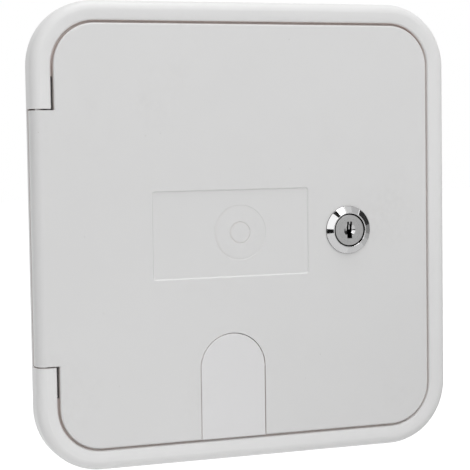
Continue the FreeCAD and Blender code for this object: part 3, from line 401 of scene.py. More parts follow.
    def make_turning(self) -> Tree:
        """Build the fine rings that a lathe leaves round the lock's axis.

        Returns:
            The group, with the height of the rings.
        """
        graph, given, result = self.start(
            Effect.TURNING, [("Centre", "Vector"), ("Pitch", "Float")], [("Height", "Float")]
        )
        offset = graph.vector_math("SUBTRACT", graph.place(), given.outputs["Centre"])
        across = graph.vector_math("MULTIPLY", offset.outputs[0], self.across_y)
        radius = graph.vector_math("LENGTH", across.outputs[0]).outputs["Value"]
        line = graph.add("ShaderNodeCombineXYZ", {0: graph.math("DIVIDE", radius, given.outputs["Pitch"])})
        graph.feed(result.inputs["Height"], graph.noise(line.outputs[0], 1.0, detail=1.0))
        return graph.tree

    def make_scuffs(self) -> Tree:
        """Build faint hairlines in two directions.

        Returns:
            The group, with the mask of the hairlines.
        """
        graph, given, result = self.start(Effect.SCUFFS, [("Scale", "Float")], [("Mask", "Float")])
        place = graph.place()
        lines: List[Socket] = []
        for turn, stretch in self.scuff_lines:
            inputs = {"Vector": place, "Rotation": (0.0, turn, turn / 2), "Scale": (stretch, 1.0, 1.0)}
            mapping = graph.add("ShaderNodeMapping", inputs, vector_type="POINT")
            grain = graph.noise(mapping.outputs[0], given.outputs["Scale"], detail=1.0)
            lines.append(graph.spread(grain, *self.scuff_range))
        graph.feed(result.inputs["Mask"], graph.math("MAXIMUM", *lines))
        return graph.tree

    def make_smears(self) -> Tree:
        """Build the soft smears that hands leave on a panel.

        Returns:
            The group, with the mask of the smears.
        """
        graph, given, result = self.start(Effect.SMEARS, [("Scale", "Float")], [("Mask", "Float")])
        place = graph.place()
        patches = graph.spread(graph.noise(place, given.outputs["Scale"], detail=3.0), *self.smear_range)
        finer = graph.math("MULTIPLY", given.outputs["Scale"], self.smear_break)
        broken = graph.spread(graph.noise(place, finer, detail=3.0, roughness=0.6), NOISE_LOW, NOISE_HIGH)
        graph.feed(result.inputs["Mask"], graph.math("MULTIPLY", patches, broken))
        return graph.tree


# Finishes


class Bench:
    """A material in the making: its tree, its Principled shader and the shared effects."""

    def __init__(self, title: str, shelf: EffectShelf) -> None:
        """Start a material with one Principled shader.

        Args:
            title: The material's name.
            shelf: The shared effects.
        """
        self.shelf = shelf
        self.material = bpy.data.materials.new(title)
        self.graph = Graph.empty(self.material)
        self.shader = self.graph.add("ShaderNodeBsdfPrincipled")
        self.graph.show(self.shader)

    def put(self, effect: Effect, **values: Source) -> Node:
        """Place a shared effect in the material, with its inputs by name."""
        return self.shelf.put(self.graph, effect, **values)

    def feed(self, name: str, source: Source) -> None:
        """Link or set one of the shader's inputs."""
        self.graph.feed(self.shader.inputs[name], source)

    def bump(self, height: Socket, strength: float, depth: float) -> None:
        """Feed a height into the shader's normal, with a strength up to 1 and its depth in metres."""
        inputs = {"Strength": strength, "Distance": depth, "Height": height}
        self.feed("Normal", self.graph.add("ShaderNodeBump", inputs).outputs["Normal"])

    def scuff(self, scale: float, roughness: float, added: float) -> None:
        """Set the roughness of a surface, and what scuffs of a scale to the metre add to it."""
        mask = self.put(Effect.SCUFFS, Scale=scale).outputs["Mask"]
        self.feed("Roughness", self.graph.math("ADD", self.graph.math("MULTIPLY", mask, added), roughness))


@dataclass(frozen=True)
class GapShading:
    """Painted light and shade of a finish in narrow gaps, with a second colour for walls that face up and
    to the left.
    """

    # Colours of painted light and shade in narrow gaps, paler or darker than the finish
    shading_colour: Colour
    upper_shading: Optional[Colour] = None
    reach: float = 2.2 * MM
    open_at: float = 0.62
    shut_at: float = 0.12
    amount: float = 0.9

    def tinted(self, bench: Bench, colour: Socket) -> Socket:
        """Paint light and shade into a colour where there are narrow gaps.

        Args:
            bench: The material in the making.
            colour: The colour in the open.

        Returns:
            The socket of the colour with its painted light and shade.
        """
        node = bench.put(
            Effect.GAP_SHADING,
            Colour=colour,
            Tint=self.shading_colour,
            Upper=self.upper_shading or self.shading_colour,
            Reach=self.reach,
            Open=self.open_at,
            Shut=self.shut_at,
            Amount=self.amount,
        )
        return node.outputs["Colour"]


class Finish:
    """A finish that fills in materials."""

    def fill(self, bench: Bench) -> None:
        """Fill in a material.

        Args:
            bench: The material in the making.
        """
        raise NotImplementedError


@dataclass(frozen=True)
class MouldedPlastic(Finish):
    """Injection-moulded plastic with an eroded grain, a slow mottle and painted light and shade in its
    narrow gaps.
    """

    colour: Colour
    roughness: float = 0.36
    roughness_swing: float = 0.05
    ior: float = 1.5
    grain_scale: float = 2600.0
    grain_depth: float = 0.03 * MM
    grain_strength: float = 0.12
    mottle: float = 0.03
    mottle_scale: float = 22.0
    # Painted light and shade in narrow gaps
    gap_shading: GapShading = GapShading((0.95, 0.85, 0.80), (0.95, 0.90, 0.87))
    speck_scale: float = 160.0
    speck_size: float = 0.03
    speck_cover: float = 0.5
    smear: float = 0.06
    smear_scale: float = 24.0
    soil: Colour = (0.36, 0.34, 0.32)
    matt_spots: float = 0.08

    def fill(self, bench: Bench) -> None:
        """Fill in a material.

        Args:
            bench: The material in the making.
        """
        graph = bench.graph
        mottle = bench.put(Effect.MOTTLE, Colour=self.colour, Scale=self.mottle_scale, Amount=self.mottle)
        grain = bench.put(Effect.GRAIN, Scale=self.grain_scale)
        specks = bench.put(Effect.SPECKS, Scale=self.speck_scale, Size=self.speck_size)
        smears = bench.put(Effect.SMEARS, Scale=self.smear_scale)
        dust = graph.math("MULTIPLY", specks.outputs["Mask"], self.speck_cover)
        smear = graph.math("MULTIPLY", smears.outputs["Mask"], self.smear)
        # The colour with painted light and shade in narrow gaps, before specks and smears
        clean = self.gap_shading.tinted(bench, mottle.outputs["Colour"])
        bench.feed("Base Color", graph.mix(graph.math("MAXIMUM", dust, smear), clean, self.soil))
        sheen = graph.sway(mottle.outputs["Shade"], self.roughness, self.roughness_swing)
        spots = graph.math("ADD", grain.outputs["Hollows"], smears.outputs["Mask"])
        bench.feed("Roughness", graph.math("ADD", sheen, graph.math("MULTIPLY", spots, self.matt_spots)))
        bench.feed("IOR", self.ior)
        bench.bump(grain.outputs["Height"], self.grain_strength, self.grain_depth)


@dataclass(frozen=True)
class PolishedMetal(Finish):
    """Bright plated metal with a few hairlines."""

    colour: Colour
    roughness: float = 0.06
    cloud: float = 0.04
    cloud_scale: float = 260.0
    scuff_scale: float = 5000.0
    scuff_roughness: float = 0.1
    # Painted shade that darkens narrow gaps and the lip round the plug
    gap_shading: GapShading = GapShading((0.02, 0.019, 0.018), reach=1.2 * MM, open_at=0.98, shut_at=0.88, amount=1.0)

    def fill(self, bench: Bench) -> None:
        """Fill in a material.

        Args:
            bench: The material in the making.
        """
        mottle = bench.put(Effect.MOTTLE, Colour=self.colour, Scale=self.cloud_scale, Amount=self.cloud)
        # Base colour with painted shade in narrow gaps
        bench.feed("Base Color", self.gap_shading.tinted(bench, mottle.outputs["Colour"]))
        bench.feed("Metallic", 1.0)
        bench.scuff(self.scuff_scale, self.roughness, self.scuff_roughness)


@dataclass(frozen=True)
class TurnedMetal(Finish):
    """Satin metal with the rings of the lathe round an axis along Y."""

    colour: Colour
    centre: Point
    roughness: float = 0.34
    roughness_swing: float = 0.08
    pitch: float = 0.16 * MM
    depth: float = 0.02 * MM
    strength: float = 0.5
    cloud: float = 0.3
    cloud_scale: float = 1500.0
    # Painted shade that darkens the key slot and the walls of its dish
    gap_shading: GapShading = GapShading((0.012, 0.011, 0.010), reach=5.0 * MM, open_at=0.88, shut_at=0.45, amount=1.0)

    def fill(self, bench: Bench) -> None:
        """Fill in a material.

        Args:
            bench: The material in the making.
        """
        rings = bench.put(Effect.TURNING, Centre=Vector(self.centre), Pitch=self.pitch).outputs["Height"]
        mottle = bench.put(Effect.MOTTLE, Colour=self.colour, Scale=self.cloud_scale, Amount=self.cloud)
        # Base colour with painted shade in the key slot and dish
        bench.feed("Base Color", self.gap_shading.tinted(bench, mottle.outputs["Colour"]))
        bench.feed("Metallic", 1.0)
        bench.feed("Roughness", bench.graph.sway(rings, self.roughness, self.roughness_swing))
        bench.bump(rings, self.strength, self.depth)


@dataclass(frozen=True)
class PlatedSteel(Finish):
    """Zinc or nickel plated steel with a cloudy bloom and hairlines."""

    colour: Colour
    bloom: Colour
    roughness: float = 0.36
    cloud: float = 0.12
    cloud_scale: float = 320.0
    bloom_range: Tuple[float, float] = (0.48, 0.68)
    bloom_cover: float = 0.6
    scuff_scale: float = 3200.0
    scuff_roughness: float = 0.14
    relief: float = 0.15
    relief_depth: float = 0.03 * MM

    def fill(self, bench: Bench) -> None:
        """Fill in a material.

        Args:
            bench: The material in the making.
        """
        graph = bench.graph
        cloud = bench.put(Effect.MOTTLE, Colour=self.colour, Scale=self.cloud_scale, Amount=self.cloud)
        veil = graph.spread(cloud.outputs["Shade"], *self.bloom_range, 0.0, self.bloom_cover)
        bench.feed("Base Color", graph.mix(veil, cloud.outputs["Colour"], self.bloom))
        bench.feed("Metallic", 1.0)
        bench.scuff(self.scuff_scale, self.roughness, self.scuff_roughness)
        bench.bump(cloud.outputs["Shade"], self.relief, self.relief_depth)


@dataclass(frozen=True)
class SealRubber(Finish):
    """Matt moulded rubber with a dusty bloom."""

    colour: Colour
    bloom: Colour = (0.09, 0.088, 0.085)
    bloom_cover: float = 0.45
    roughness: float = 0.66
    roughness_swing: float = 0.08
    mottle: float = 0.3
    mottle_scale: float = 60.0
    grain_scale: float = 1900.0
    grain_strength: float = 0.3
    grain_depth: float = 0.05 * MM

    def fill(self, bench: Bench) -> None:
        """Fill in a material.

        Args:
            bench: The material in the making.
        """
        graph = bench.graph
        mottle = bench.put(Effect.MOTTLE, Colour=self.colour, Scale=self.mottle_scale, Amount=self.mottle)
        grain = bench.put(Effect.GRAIN, Scale=self.grain_scale)
        dust = graph.math("MULTIPLY", grain.outputs["Hollows"], self.bloom_cover)
        bench.feed("Base Color", graph.mix(dust, mottle.outputs["Colour"], self.bloom))
        bench.feed("Roughness", graph.sway(mottle.outputs["Shade"], self.roughness, self.roughness_swing))
        bench.bump(grain.outputs["Height"], self.grain_strength, self.grain_depth)


class FinishBook:
    """The material of every look, each made once."""

    def __init__(self, finishes: Dict[Look, Finish]) -> None:
        """Make the materials.

        Args:
            finishes: The finish of each look.
        """
        shelf = EffectShelf()
        self.materials: Dict[Look, Material] = {}
        for look, finish in finishes.items():
            bench = Bench(look.title, shelf)
            finish.fill(bench)
            self.materials[look] = bench.material

    def dress(self, thing: Thing, look: Look) -> None:
        """Give an object the material of a look.

        Args:
            thing: A CAD node's object or a new piece.
            look: The look.
        """
        materials = thing.data.materials
        if not materials:
            materials.append(self.materials[look])
        for index in range(len(materials)):
            materials[index] = self.materials[look]


# Meshes


def smooth_mesh(mesh: Mesh) -> None:
    """Shade a mesh smooth, with its edges above an angle kept sharp."""
    mesh.polygons.foreach_set("use_smooth", [True] * len(mesh.polygons))
    mesh.set_sharp_from_angle(angle=math.radians(SMOOTH_DEGREES))


def plain_mesh(name: str, shape: Shape) -> Mesh:
    """Turn a built shape into a mesh as it is.

    Args:
        name: The mesh's name.
        shape: The built shape, which is freed.

    Returns:
        The mesh.
    """
    mesh = bpy.data.meshes.new(name)
    shape.to_mesh(mesh)
    shape.free()
    return mesh


def finish_mesh(name: str, shape: Shape) -> Mesh:
    """Turn a built shape into a smooth mesh with its faces outwards.

    Args:
        name: The mesh's name.
        shape: The built shape, which is freed.

    Returns:
        The mesh.
    """
    bmesh.ops.remove_doubles(shape, verts=shape.verts, dist=WELD)
    bmesh.ops.recalc_face_normals(shape, faces=shape.faces)
    mesh = plain_mesh(name, shape)
    smooth_mesh(mesh)
    return mesh


def turn_profile(profile: Sequence[Tuple[float, float]], segments: int) -> Shape:
    """Turn a profile about the Z axis.

    Args:
        profile: Radius and height of each point, from one end of the axis to the other.
        segments: The number of steps round the axis.

    Returns:
        The turned shape.
    """
    shape = bmesh.new()
    rings: List[List[bmesh.types.BMVert]] = []
    for radius, height in profile:
        if radius == 0.0:
            rings.append([shape.verts.new((0.0, 0.0, height))] * segments)
            continue
        ring = []
        for step in range(segments):
            angle = 2 * math.pi * step / segments
            ring.append(shape.verts.new((radius * math.cos(angle), radius * math.sin(angle), height)))
        rings.append(ring)
    for lower, upper_shading in zip(rings, rings[1:]):
        for step in range(segments):
            following = (step + 1) % segments
            corners = [lower[step], lower[following], upper_shading[following], upper_shading[step]]
            shape.faces.new(list(dict.fromkeys(corners)))
    return shape


def add_shape(shape: Shape, part: Shape, place: Matrix) -> None:
    """Add a built shape to another.

    Args:
        shape: The shape that takes the part.
        part: The part, which is freed.
        place: Where the part's origin and axes go.
    """
    mesh = plain_mesh("part", part)
    mesh.transform(place)
    shape.from_mesh(mesh)
    bpy.data.meshes.remove(mesh)


def add_bar(shape: Shape, size: Vector, place: Matrix, bevel: float) -> None:
    """Add a bar with bevelled edges.

    Args:
        shape: The shape that takes the bar.
        size: The bar's length on each axis.
        place: Where the bar's middle and axes go.
        bevel: The bevel's width.
    """
    made = bmesh.ops.create_cube(shape, size=1.0, matrix=place @ Matrix.Diagonal((*size, 1.0)))
    edges = list({edge for vert in made["verts"] for edge in vert.link_edges})
    bmesh.ops.bevel(
        shape, geom=edges, offset=bevel, segments=BEVEL_STEPS, profile=BEVEL_PROFILE, affect="EDGES"
    )


def put_in_scene(name: str, data: bpy.types.ID) -> Thing:
    """Make an object of a mesh, a light or a camera and link it to the scene.

    Args:
        name: The object's name.
        data: The mesh, light or camera.

    Returns:
        The object.
    """
    thing = bpy.data.objects.new(name, data)
    bpy.context.scene.collection.objects.link(thing)
    return thing


def cut_mesh(name: str, base: Mesh, cutter: Mesh) -> Mesh:
    """Cut one mesh out of another.

    Args:
        name: The result's name.
        base: The mesh to cut.
        cutter: The mesh to cut out.

    Returns:
        The cut mesh.
    """
    block = put_in_scene(f"{name}_block", base)
    tool = put_in_scene(f"{name}_tool", cutter)
    modifier = block.modifiers.new("cut", "BOOLEAN")
    modifier.operation = "DIFFERENCE"
    modifier.solver = "EXACT"
    modifier.object = tool
    bpy.context.view_layer.update()
    ready = block.evaluated_get(bpy.context.evaluated_depsgraph_get())
    mesh = bpy.data.meshes.new_from_object(ready)
    mesh.name = name
    for thing in (block, tool):
        bpy.data.objects.remove(thing)
    smooth_mesh(mesh)
    return mesh


def middle(node: str) -> Vector:
    """The middle of a CAD node's box."""
    low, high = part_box(node)
    return (low + high) / 2


def place_at(spot: Vector, across: Vector, up: Vector, out: Vector) -> Matrix:
    """The place of something whose origin is at a spot and whose X, Y and Z axes are given."""
    return Matrix.Translation(spot) @ Matrix((across, up, out)).transposed().to_4x4()


# Sub-assemblies


class Assembly:
    """A sub-assembly: CAD nodes that keep their solids, and pieces built here."""

    nodes: Dict[str, Look] = {}

    def __init__(self, frame: dict, book: FinishBook) -> None:
        self.frame = frame
        self.book = book

    def build(self) -> None:
        """Build the pieces that the CAD model leaves to this script."""

    def dress(self) -> None:
        """Give every CAD node of the sub-assembly its finish."""
        for node, look in self.nodes.items():
            self.book.dress(self.frame["nodes"][node], look)
            LOG.info("dressed %s with %s", node, look.title)

    def add_piece(self, mesh: Mesh, body: Body, look: Look) -> None:
        """Put a built piece in the scene, under its mesh's name.

        Args:
            mesh: The piece's mesh, in the CAD frame.
            body: The body that it rides on.
            look: Its finish.
        """
        piece = put_in_scene(mesh.name, mesh)
        self.book.dress(piece, look)
        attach(piece, body.value)
        LOG.info("built %s on %s", piece.name, body.value)


class WallFrame(Assembly):
    """The frame with its seal and hinge pin."""

    nodes = {"frame": Look.FRAME, "lid_seal": Look.RUBBER, "hinge_pin": Look.HINGE}


@dataclass
class LidSizes:
    """Sizes of what the lid's moulding tool leaves behind, with the marks' spots in millimetres."""

    back_height: float = 6.8 * MM
    mark_radius: float = 3.0 * MM
    mark_wall: float = 0.35 * MM
    mark_height: float = 0.12 * MM
    segments: int = 40
    spots: Tuple[Tuple[float, float], ...] = (
        (-62.0, 58.0), (-62.0, -58.0), (-14.0, 58.0), (40.0, 58.0), (40.0, -58.0)
    )


class HingedLid(Assembly):
    """The lid, with the marks of the ejector pins on its back."""

    nodes = {"lid": Look.LID}
    sizes = LidSizes()

    def build(self) -> None:
        """Build the rings that the ejector pins leave on the lid's back."""
        sizes = self.sizes
        inner_foot = (sizes.mark_radius - sizes.mark_wall, 0.0)
        profile = [
            inner_foot,
            (sizes.mark_radius - sizes.mark_wall / 2, sizes.mark_height),
            (sizes.mark_radius, sizes.mark_height),
            (sizes.mark_radius + sizes.mark_wall / 2, 0.0),
            inner_foot,
        ]
        shape = bmesh.new()
        for x, z in sizes.spots:
            place = Matrix.Translation((x * MM, -sizes.back_height, z * MM)) @ INTO_WALL
            add_shape(shape, turn_profile(profile, sizes.segments), place)
        self.add_piece(finish_mesh("lid_ejector_marks", shape), Body.LID, Look.LID)


@dataclass
class ThreadSizes:
    """Sizes of the lock barrel's thread, with its section's half widths in pitches."""

    barrel_radius: float = 8.0 * MM
    pitch: float = 1.0 * MM
    depth: float = 0.24 * MM
    clear: float = 0.25 * MM
    foot_width: float = 0.42
    crest_width: float = 0.08
    run_out: float = 0.25
    least_depth: float = 0.02
    steps: int = 48


@dataclass
class DimpleSizes:
    """Sizes of the polished dimple on both sides of the key slot."""

    radius: float = 2.6 * MM
    inner_radius: float = 1.0 * MM
    curve: float = 5.0 * MM
    slot_side: float = 1.14 * MM
    foot: float = 0.65 * MM
    foot_radius: float = 2.15 * MM
    sink: float = 0.05 * MM
    steps: int = 8
    segments: int = 72


class CamLock(Assembly):
    """The cam lock with its ring, plug, cam and nuts."""

    nodes = {
        "lock_housing": Look.CHROME,
        "lock_nut": Look.ZINC,
        "lock_plug": Look.SATIN,
        "lock_cam": Look.ZINC,
        "cam_nut": Look.ZINC,
    }
    thread = ThreadSizes()
    dimple = DimpleSizes()

    def build(self) -> None:
        """Build the pieces that the lock's solids leave out."""
        self.build_thread()
        self.build_dimple()

    def build_dimple(self) -> None:
        """Build the polished dimple in the plug's dish, cut away over the key slot."""
        sizes = self.dimple
        drop = math.sqrt(sizes.curve ** 2 - sizes.radius ** 2)
        bowl = []
        for step in range(sizes.steps + 1):
            radius = sizes.inner_radius + (sizes.radius - sizes.inner_radius) * step / sizes.steps
            bowl.append((radius, math.sqrt(sizes.curve ** 2 - radius ** 2) - drop))
        rim = (sizes.radius + sizes.sink, sizes.sink)
        profile = [*bowl, rim, (sizes.foot_radius, sizes.foot), (sizes.inner_radius, sizes.foot), bowl[0]]
        axis = middle("lock_plug")
        place = Matrix.Translation((axis.x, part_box("lock_plug")[0].y, axis.z)) @ INTO_WALL
        shape = bmesh.new()
        for side in (1.0, -1.0):
            half = turn_profile(profile, sizes.segments)
            bmesh.ops.remove_doubles(half, verts=half.verts, dist=WELD)
            cut = bmesh.ops.bisect_plane(
                half,
                geom=[*half.verts, *half.edges, *half.faces],
                plane_co=(side * sizes.slot_side, 0.0, 0.0),
                plane_no=(side, 0.0, 0.0),
                clear_inner=True,
            )
            edges = [item for item in cut["geom_cut"] if isinstance(item, bmesh.types.BMEdge)]
            bmesh.ops.contextual_create(half, geom=edges)
            add_shape(shape, half, place)
        self.add_piece(finish_mesh("lock_plug_dimple", shape), Body.LOCK, Look.CHROME)

    def build_thread(self) -> None:
        """Build the thread that shows on the barrel behind its nut."""
        sizes = self.thread
        axis = middle("lock_housing")
        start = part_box("lock_nut")[1].y + sizes.clear
        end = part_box("lock_housing")[1].y - sizes.clear
        count = int((end - start) / sizes.pitch * sizes.steps)
        foot = sizes.barrel_radius - sizes.depth / 2
        shape = bmesh.new()
        previous: Optional[List[bmesh.types.BMVert]] = None
        for step in range(count + 1):
            angle = 2 * math.pi * step / sizes.steps
            y = start + (end - start) * step / count
            swell = min(1.0, min(step, count - step) / (sizes.run_out * sizes.steps))
            crest = sizes.barrel_radius + sizes.depth * max(swell, sizes.least_depth)
            section = []
            for radius, shift in (
                (foot, -sizes.foot_width),
                (crest, -sizes.crest_width),
                (crest, sizes.crest_width),
                (foot, sizes.foot_width),
            ):
                x, z = axis.x + radius * math.cos(angle), axis.z + radius * math.sin(angle)
                section.append(shape.verts.new((x, y + shift * sizes.pitch, z)))
            if previous:
                for side in range(len(section)):
                    after = (side + 1) % len(section)
                    shape.faces.new((previous[side], previous[after], section[after], section[side]))
            else:
                shape.faces.new(section)
            previous = section
        shape.faces.new(previous)
        self.add_piece(finish_mesh("lock_barrel_thread", shape), Body.LID, Look.CHROME)


class CableFlap(Assembly):
    """The arched flap over the cable."""

    nodes = {"cable_flap": Look.FLAP}


@dataclass
class RibSizes:
    """Sizes of the ribs on the back of the tub."""

    width: float = 2.4 * MM
    height: float = 1.6 * MM
    bevel: float = 0.5 * MM
    reach: float = 44.0 * MM
    foot: float = 22.0 * MM
    length: float = 56.0 * MM
    count: int = 5


class RecessTub(Assembly):
    """The tub behind the wall."""

    nodes = {"recess_housing": Look.TUB}
    ribs = RibSizes()

    def build(self) -> None:
        """Build the stiffening ribs on the tub's back wall."""
        sizes = self.ribs
        low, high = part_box("recess_housing")
        size = Vector((sizes.width, 2 * sizes.height, sizes.length))
        spacing = 2 * sizes.reach / (sizes.count - 1)
        start = (low.x + high.x) / 2 - sizes.reach
        shape = bmesh.new()
        for number in range(sizes.count):
            spot = Vector((start + number * spacing, high.y, low.z + sizes.foot + sizes.length / 2))
            add_bar(shape, size, Matrix.Translation(spot), sizes.bevel)
        self.add_piece(finish_mesh("tub_ribs", shape), Body.FRAME, Look.TUB)


@dataclass
class ScrewSizes:
    """Sizes of a pan-head screw with a cross recess, and its point and crown as shares of them."""

    head_radius: float = 3.3 * MM
    head_height: float = 2.1 * MM
    shank_radius: float = 1.6 * MM
    reach: float = 14.0 * MM
    tip: float = 2.6 * MM
    point_width: float = 0.25
    point_rise: float = 0.2
    crown_foot: float = 0.35
    crown_power: float = 0.6
    crown_steps: int = 8
    cross_length: float = 3.6 * MM
    cross_width: float = 0.75 * MM
    cross_depth: float = 1.4 * MM
    turn_degrees: float = 37.0
    segments: int = 40


class PowerInlet(Assembly):
    """The inlet with its gasket, carrier, contacts and flange screws."""

    nodes = {
        "inlet_gasket": Look.RUBBER,
        "inlet_body": Look.INLET,
        "contact_carrier": Look.CARRIER,
        "contact_pin_line": Look.CONTACT,
        "contact_pin_neutral": Look.CONTACT,
        "contact_pin_earth": Look.CONTACT,
    }
    screw = ScrewSizes()
    mouth_way = Vector((0.0, -math.sqrt(0.5), -math.sqrt(0.5)))
    up_way = Vector((0.0, -math.sqrt(0.5), math.sqrt(0.5)))
    side_way = up_way.cross(mouth_way)
    flange_front = 4.6 * MM
    screw_offset = 24.0 * MM

    def make_screw(self) -> Mesh:
        """Make a screw that points down its own Z axis with its head's foot at the origin.

        Returns:
            The screw's mesh.
        """
        size = self.screw
        profile = [
            (0.0, -size.reach),
            (size.shank_radius * size.point_width, -size.reach + size.point_rise * size.tip),
            (size.shank_radius, -size.reach + size.tip),
            (size.shank_radius, 0.0),
            (size.head_radius, 0.0),
        ]
        for step in range(size.crown_steps):
            angle = math.pi / 2 * step / size.crown_steps
            rise = size.head_height * (size.crown_foot + (1.0 - size.crown_foot) * math.sin(angle))
            profile.append((size.head_radius * math.cos(angle) ** size.crown_power, rise))
        profile.append((0.0, size.head_height))
        body = finish_mesh("screw_body", turn_profile(profile, size.segments))
        cross = bmesh.new()
        place = Matrix.Translation((0.0, 0.0, size.head_height))
        for length, width in ((size.cross_length, size.cross_width), (size.cross_width, size.cross_length)):
            scale = Matrix.Diagonal((length, width, 2 * size.cross_depth, 1.0))
            bmesh.ops.create_cube(cross, size=1.0, matrix=place @ scale)
        return cut_mesh("inlet_screw", body, plain_mesh("screw_cross", cross))

    def build(self) -> None:
        """Build the four screws that hold the inlet's flange."""
        centre = middle("inlet_gasket") + self.mouth_way * self.flange_front
        base = self.make_screw()
        for number, (across, up) in enumerate(((1, 1), (-1, 1), (-1, -1), (1, -1)), start=1):
            spot = centre + (self.side_way * across + self.up_way * up) * self.screw_offset
            spin = Matrix.Rotation(math.radians(self.screw.turn_degrees * number), 4, "Z")
            mesh = base.copy()
            mesh.name = f"inlet_screw_{number}"
            mesh.transform(place_at(spot, self.side_way, self.up_way, self.mouth_way) @ spin)
            self.add_piece(mesh, Body.FRAME, Look.ZINC)


@dataclass
class FinSizes:
    """Sizes of the grip fins round the terminal cover, and what lies between it and the gasket's middle."""

    radius: float = 25.0 * MM
    width: float = 1.6 * MM
    height: float = 0.8 * MM
    length: float = 18.0 * MM
    start: float = 5.0 * MM
    half_gasket: float = 0.6 * MM
    tub_wall: float = 2.2 * MM
    bevel: float = 0.4 * MM
    count: int = 16


class WiringGland(Assembly):
    """The terminal cover and the cable gland behind the tub."""

    nodes = {"terminal_cover": Look.COVER, "cable_gland": Look.GLAND, "gland_nut": Look.GLAND}
    fins = FinSizes()

    def build(self) -> None:
        """Build the grip fins round the terminal cover."""
        sizes = self.fins
        mouth_way, up_way, side_way = PowerInlet.mouth_way, PowerInlet.up_way, PowerInlet.side_way
        back = sizes.half_gasket + sizes.tub_wall + sizes.start + sizes.length / 2
        seat = middle("inlet_gasket") - mouth_way * back
        size = Vector((2 * sizes.height, sizes.width, sizes.length))
        shape = bmesh.new()
        for number in range(sizes.count):
            angle = 2 * math.pi * number / sizes.count
            out = side_way * math.cos(angle) + up_way * math.sin(angle)
            place = place_at(seat + out * sizes.radius, out, mouth_way.cross(out), mouth_way)
            add_bar(shape, size, place, sizes.bevel)
        self.add_piece(finish_mesh("cover_fins", shape), Body.FRAME, Look.COVER)


# Studio


def make_glow(name: str, shade: float) -> Material:
    """Make a plain grey glow.

    Args:
        name: The material's name.
        shade: The grey level, 0 for black.

    Returns:
        The material.
    """
    material = bpy.data.materials.new(name)
    graph = Graph.empty(material)
    graph.show(graph.add("ShaderNodeEmission", {"Color": (shade, shade, shade)}))
    return material


def square_mesh(name: str, size: float, material: Material) -> Mesh:
    """Make a flat square.

    Args:
        name: The mesh's name.
        size: The length of its sides.
        material: Its material.

    Returns:
        The mesh.
    """
    shape = bmesh.new()
    bmesh.ops.create_grid(shape, x_segments=1, y_segments=1, size=size / 2)
    mesh = plain_mesh(name, shape)
    mesh.materials.append(material)
    return mesh


def add_stage(mesh: Mesh, only: Optional[Ray] = None) -> Thing:
    """Put a mesh of the studio in the scene, under its own name.

    Args:
        mesh: The mesh.
        only: The one kind of rays that meets it, or None for all of them.

    Returns:
        The object.
    """
    thing = put_in_scene(mesh.name, mesh)
    if only is not None:
        for ray in Ray:
            setattr(thing, ray.value, ray is only)
    return thing


def aim(thing: Thing, place: Point) -> None:
    """Put an object at a place, with its -Z axis towards the hatch."""
    thing.location = place
    thing.rotation_euler = (-Vector(place)).to_track_quat("-Z", "Y").to_euler()


@dataclass(frozen=True)
class Softbox:
    """A square area light that points at the hatch."""

    name: str
    place: Point
    size: float
    power: float

    def build(self) -> None:
        """Put the light in the scene."""
        lamp = bpy.data.lights.new(self.name, "AREA")
        lamp.shape = "SQUARE"
        lamp.size = self.size
        lamp.energy = self.power
        thing = put_in_scene(self.name, lamp)
        thing.visible_camera = False
        aim(thing, self.place)


@dataclass(frozen=True)
class ShadeFlag:
    """A black square out of view that takes soft light from one side of the hatch."""

    name: str
    place: Point
    size: float

    def build(self) -> None:
        """Put the flag in the scene with its face to the hatch."""
        mesh = square_mesh(self.name, self.size, make_glow(self.name, 0.0))
        aim(add_stage(mesh, Ray.DIFFUSE), self.place)


@dataclass(frozen=True)
class LockCard:
    """A bent card that only reflections show, and whose mirror image covers an arc of the lock's face.

    The arc is given by its angles round the lock and by the slopes of the surfaces on it, all in degrees.
    """

    name: str
    start: float
    end: float
    shade: float
    reach: float = 1.0
    flattest: float = 16.0
    steepest: float = 46.0
    step: float = 3.0

    @staticmethod
    def mirror(view: Vector, turn: float, slope: float) -> Vector:
        """Find the way in which a surface on the lock mirrors the camera's view.

        Args:
            view: The way from the camera to the lock.
            turn: The angle round the lock, from the right and upwards.
            slope: The surface's slope, 0 where it faces straight out of the lid.

        Returns:
            The way as a unit vector.
        """
        turn, slope = math.radians(turn), math.radians(slope)
        side = math.sin(slope)
        return view.reflect(Vector((side * math.cos(turn), -math.cos(slope), side * math.sin(turn))))

    def build(self, eye: Vector) -> None:
        """Put the card in the scene.

        Args:
            eye: The camera's place.
        """
        lock = middle("lock_housing")
        view = (lock - eye).normalized()
        count = round((self.end - self.start) / self.step)
        shape = bmesh.new()
        previous: Optional[List[bmesh.types.BMVert]] = None
        for number in range(count + 1):
            turn = self.start + (self.end - self.start) * number / count
            ways = (self.mirror(view, turn, slope) for slope in (self.flattest, self.steepest))
            edge = [shape.verts.new(lock + way * self.reach) for way in ways]
            if previous:
                shape.faces.new((*previous, *reversed(edge)))
            previous = edge
        bmesh.ops.remove_doubles(shape, verts=shape.verts, dist=CARD_WELD)
        mesh = plain_mesh(self.name, shape)
        mesh.materials.append(make_glow(self.name, self.shade))
        add_stage(mesh, Ray.GLOSSY)


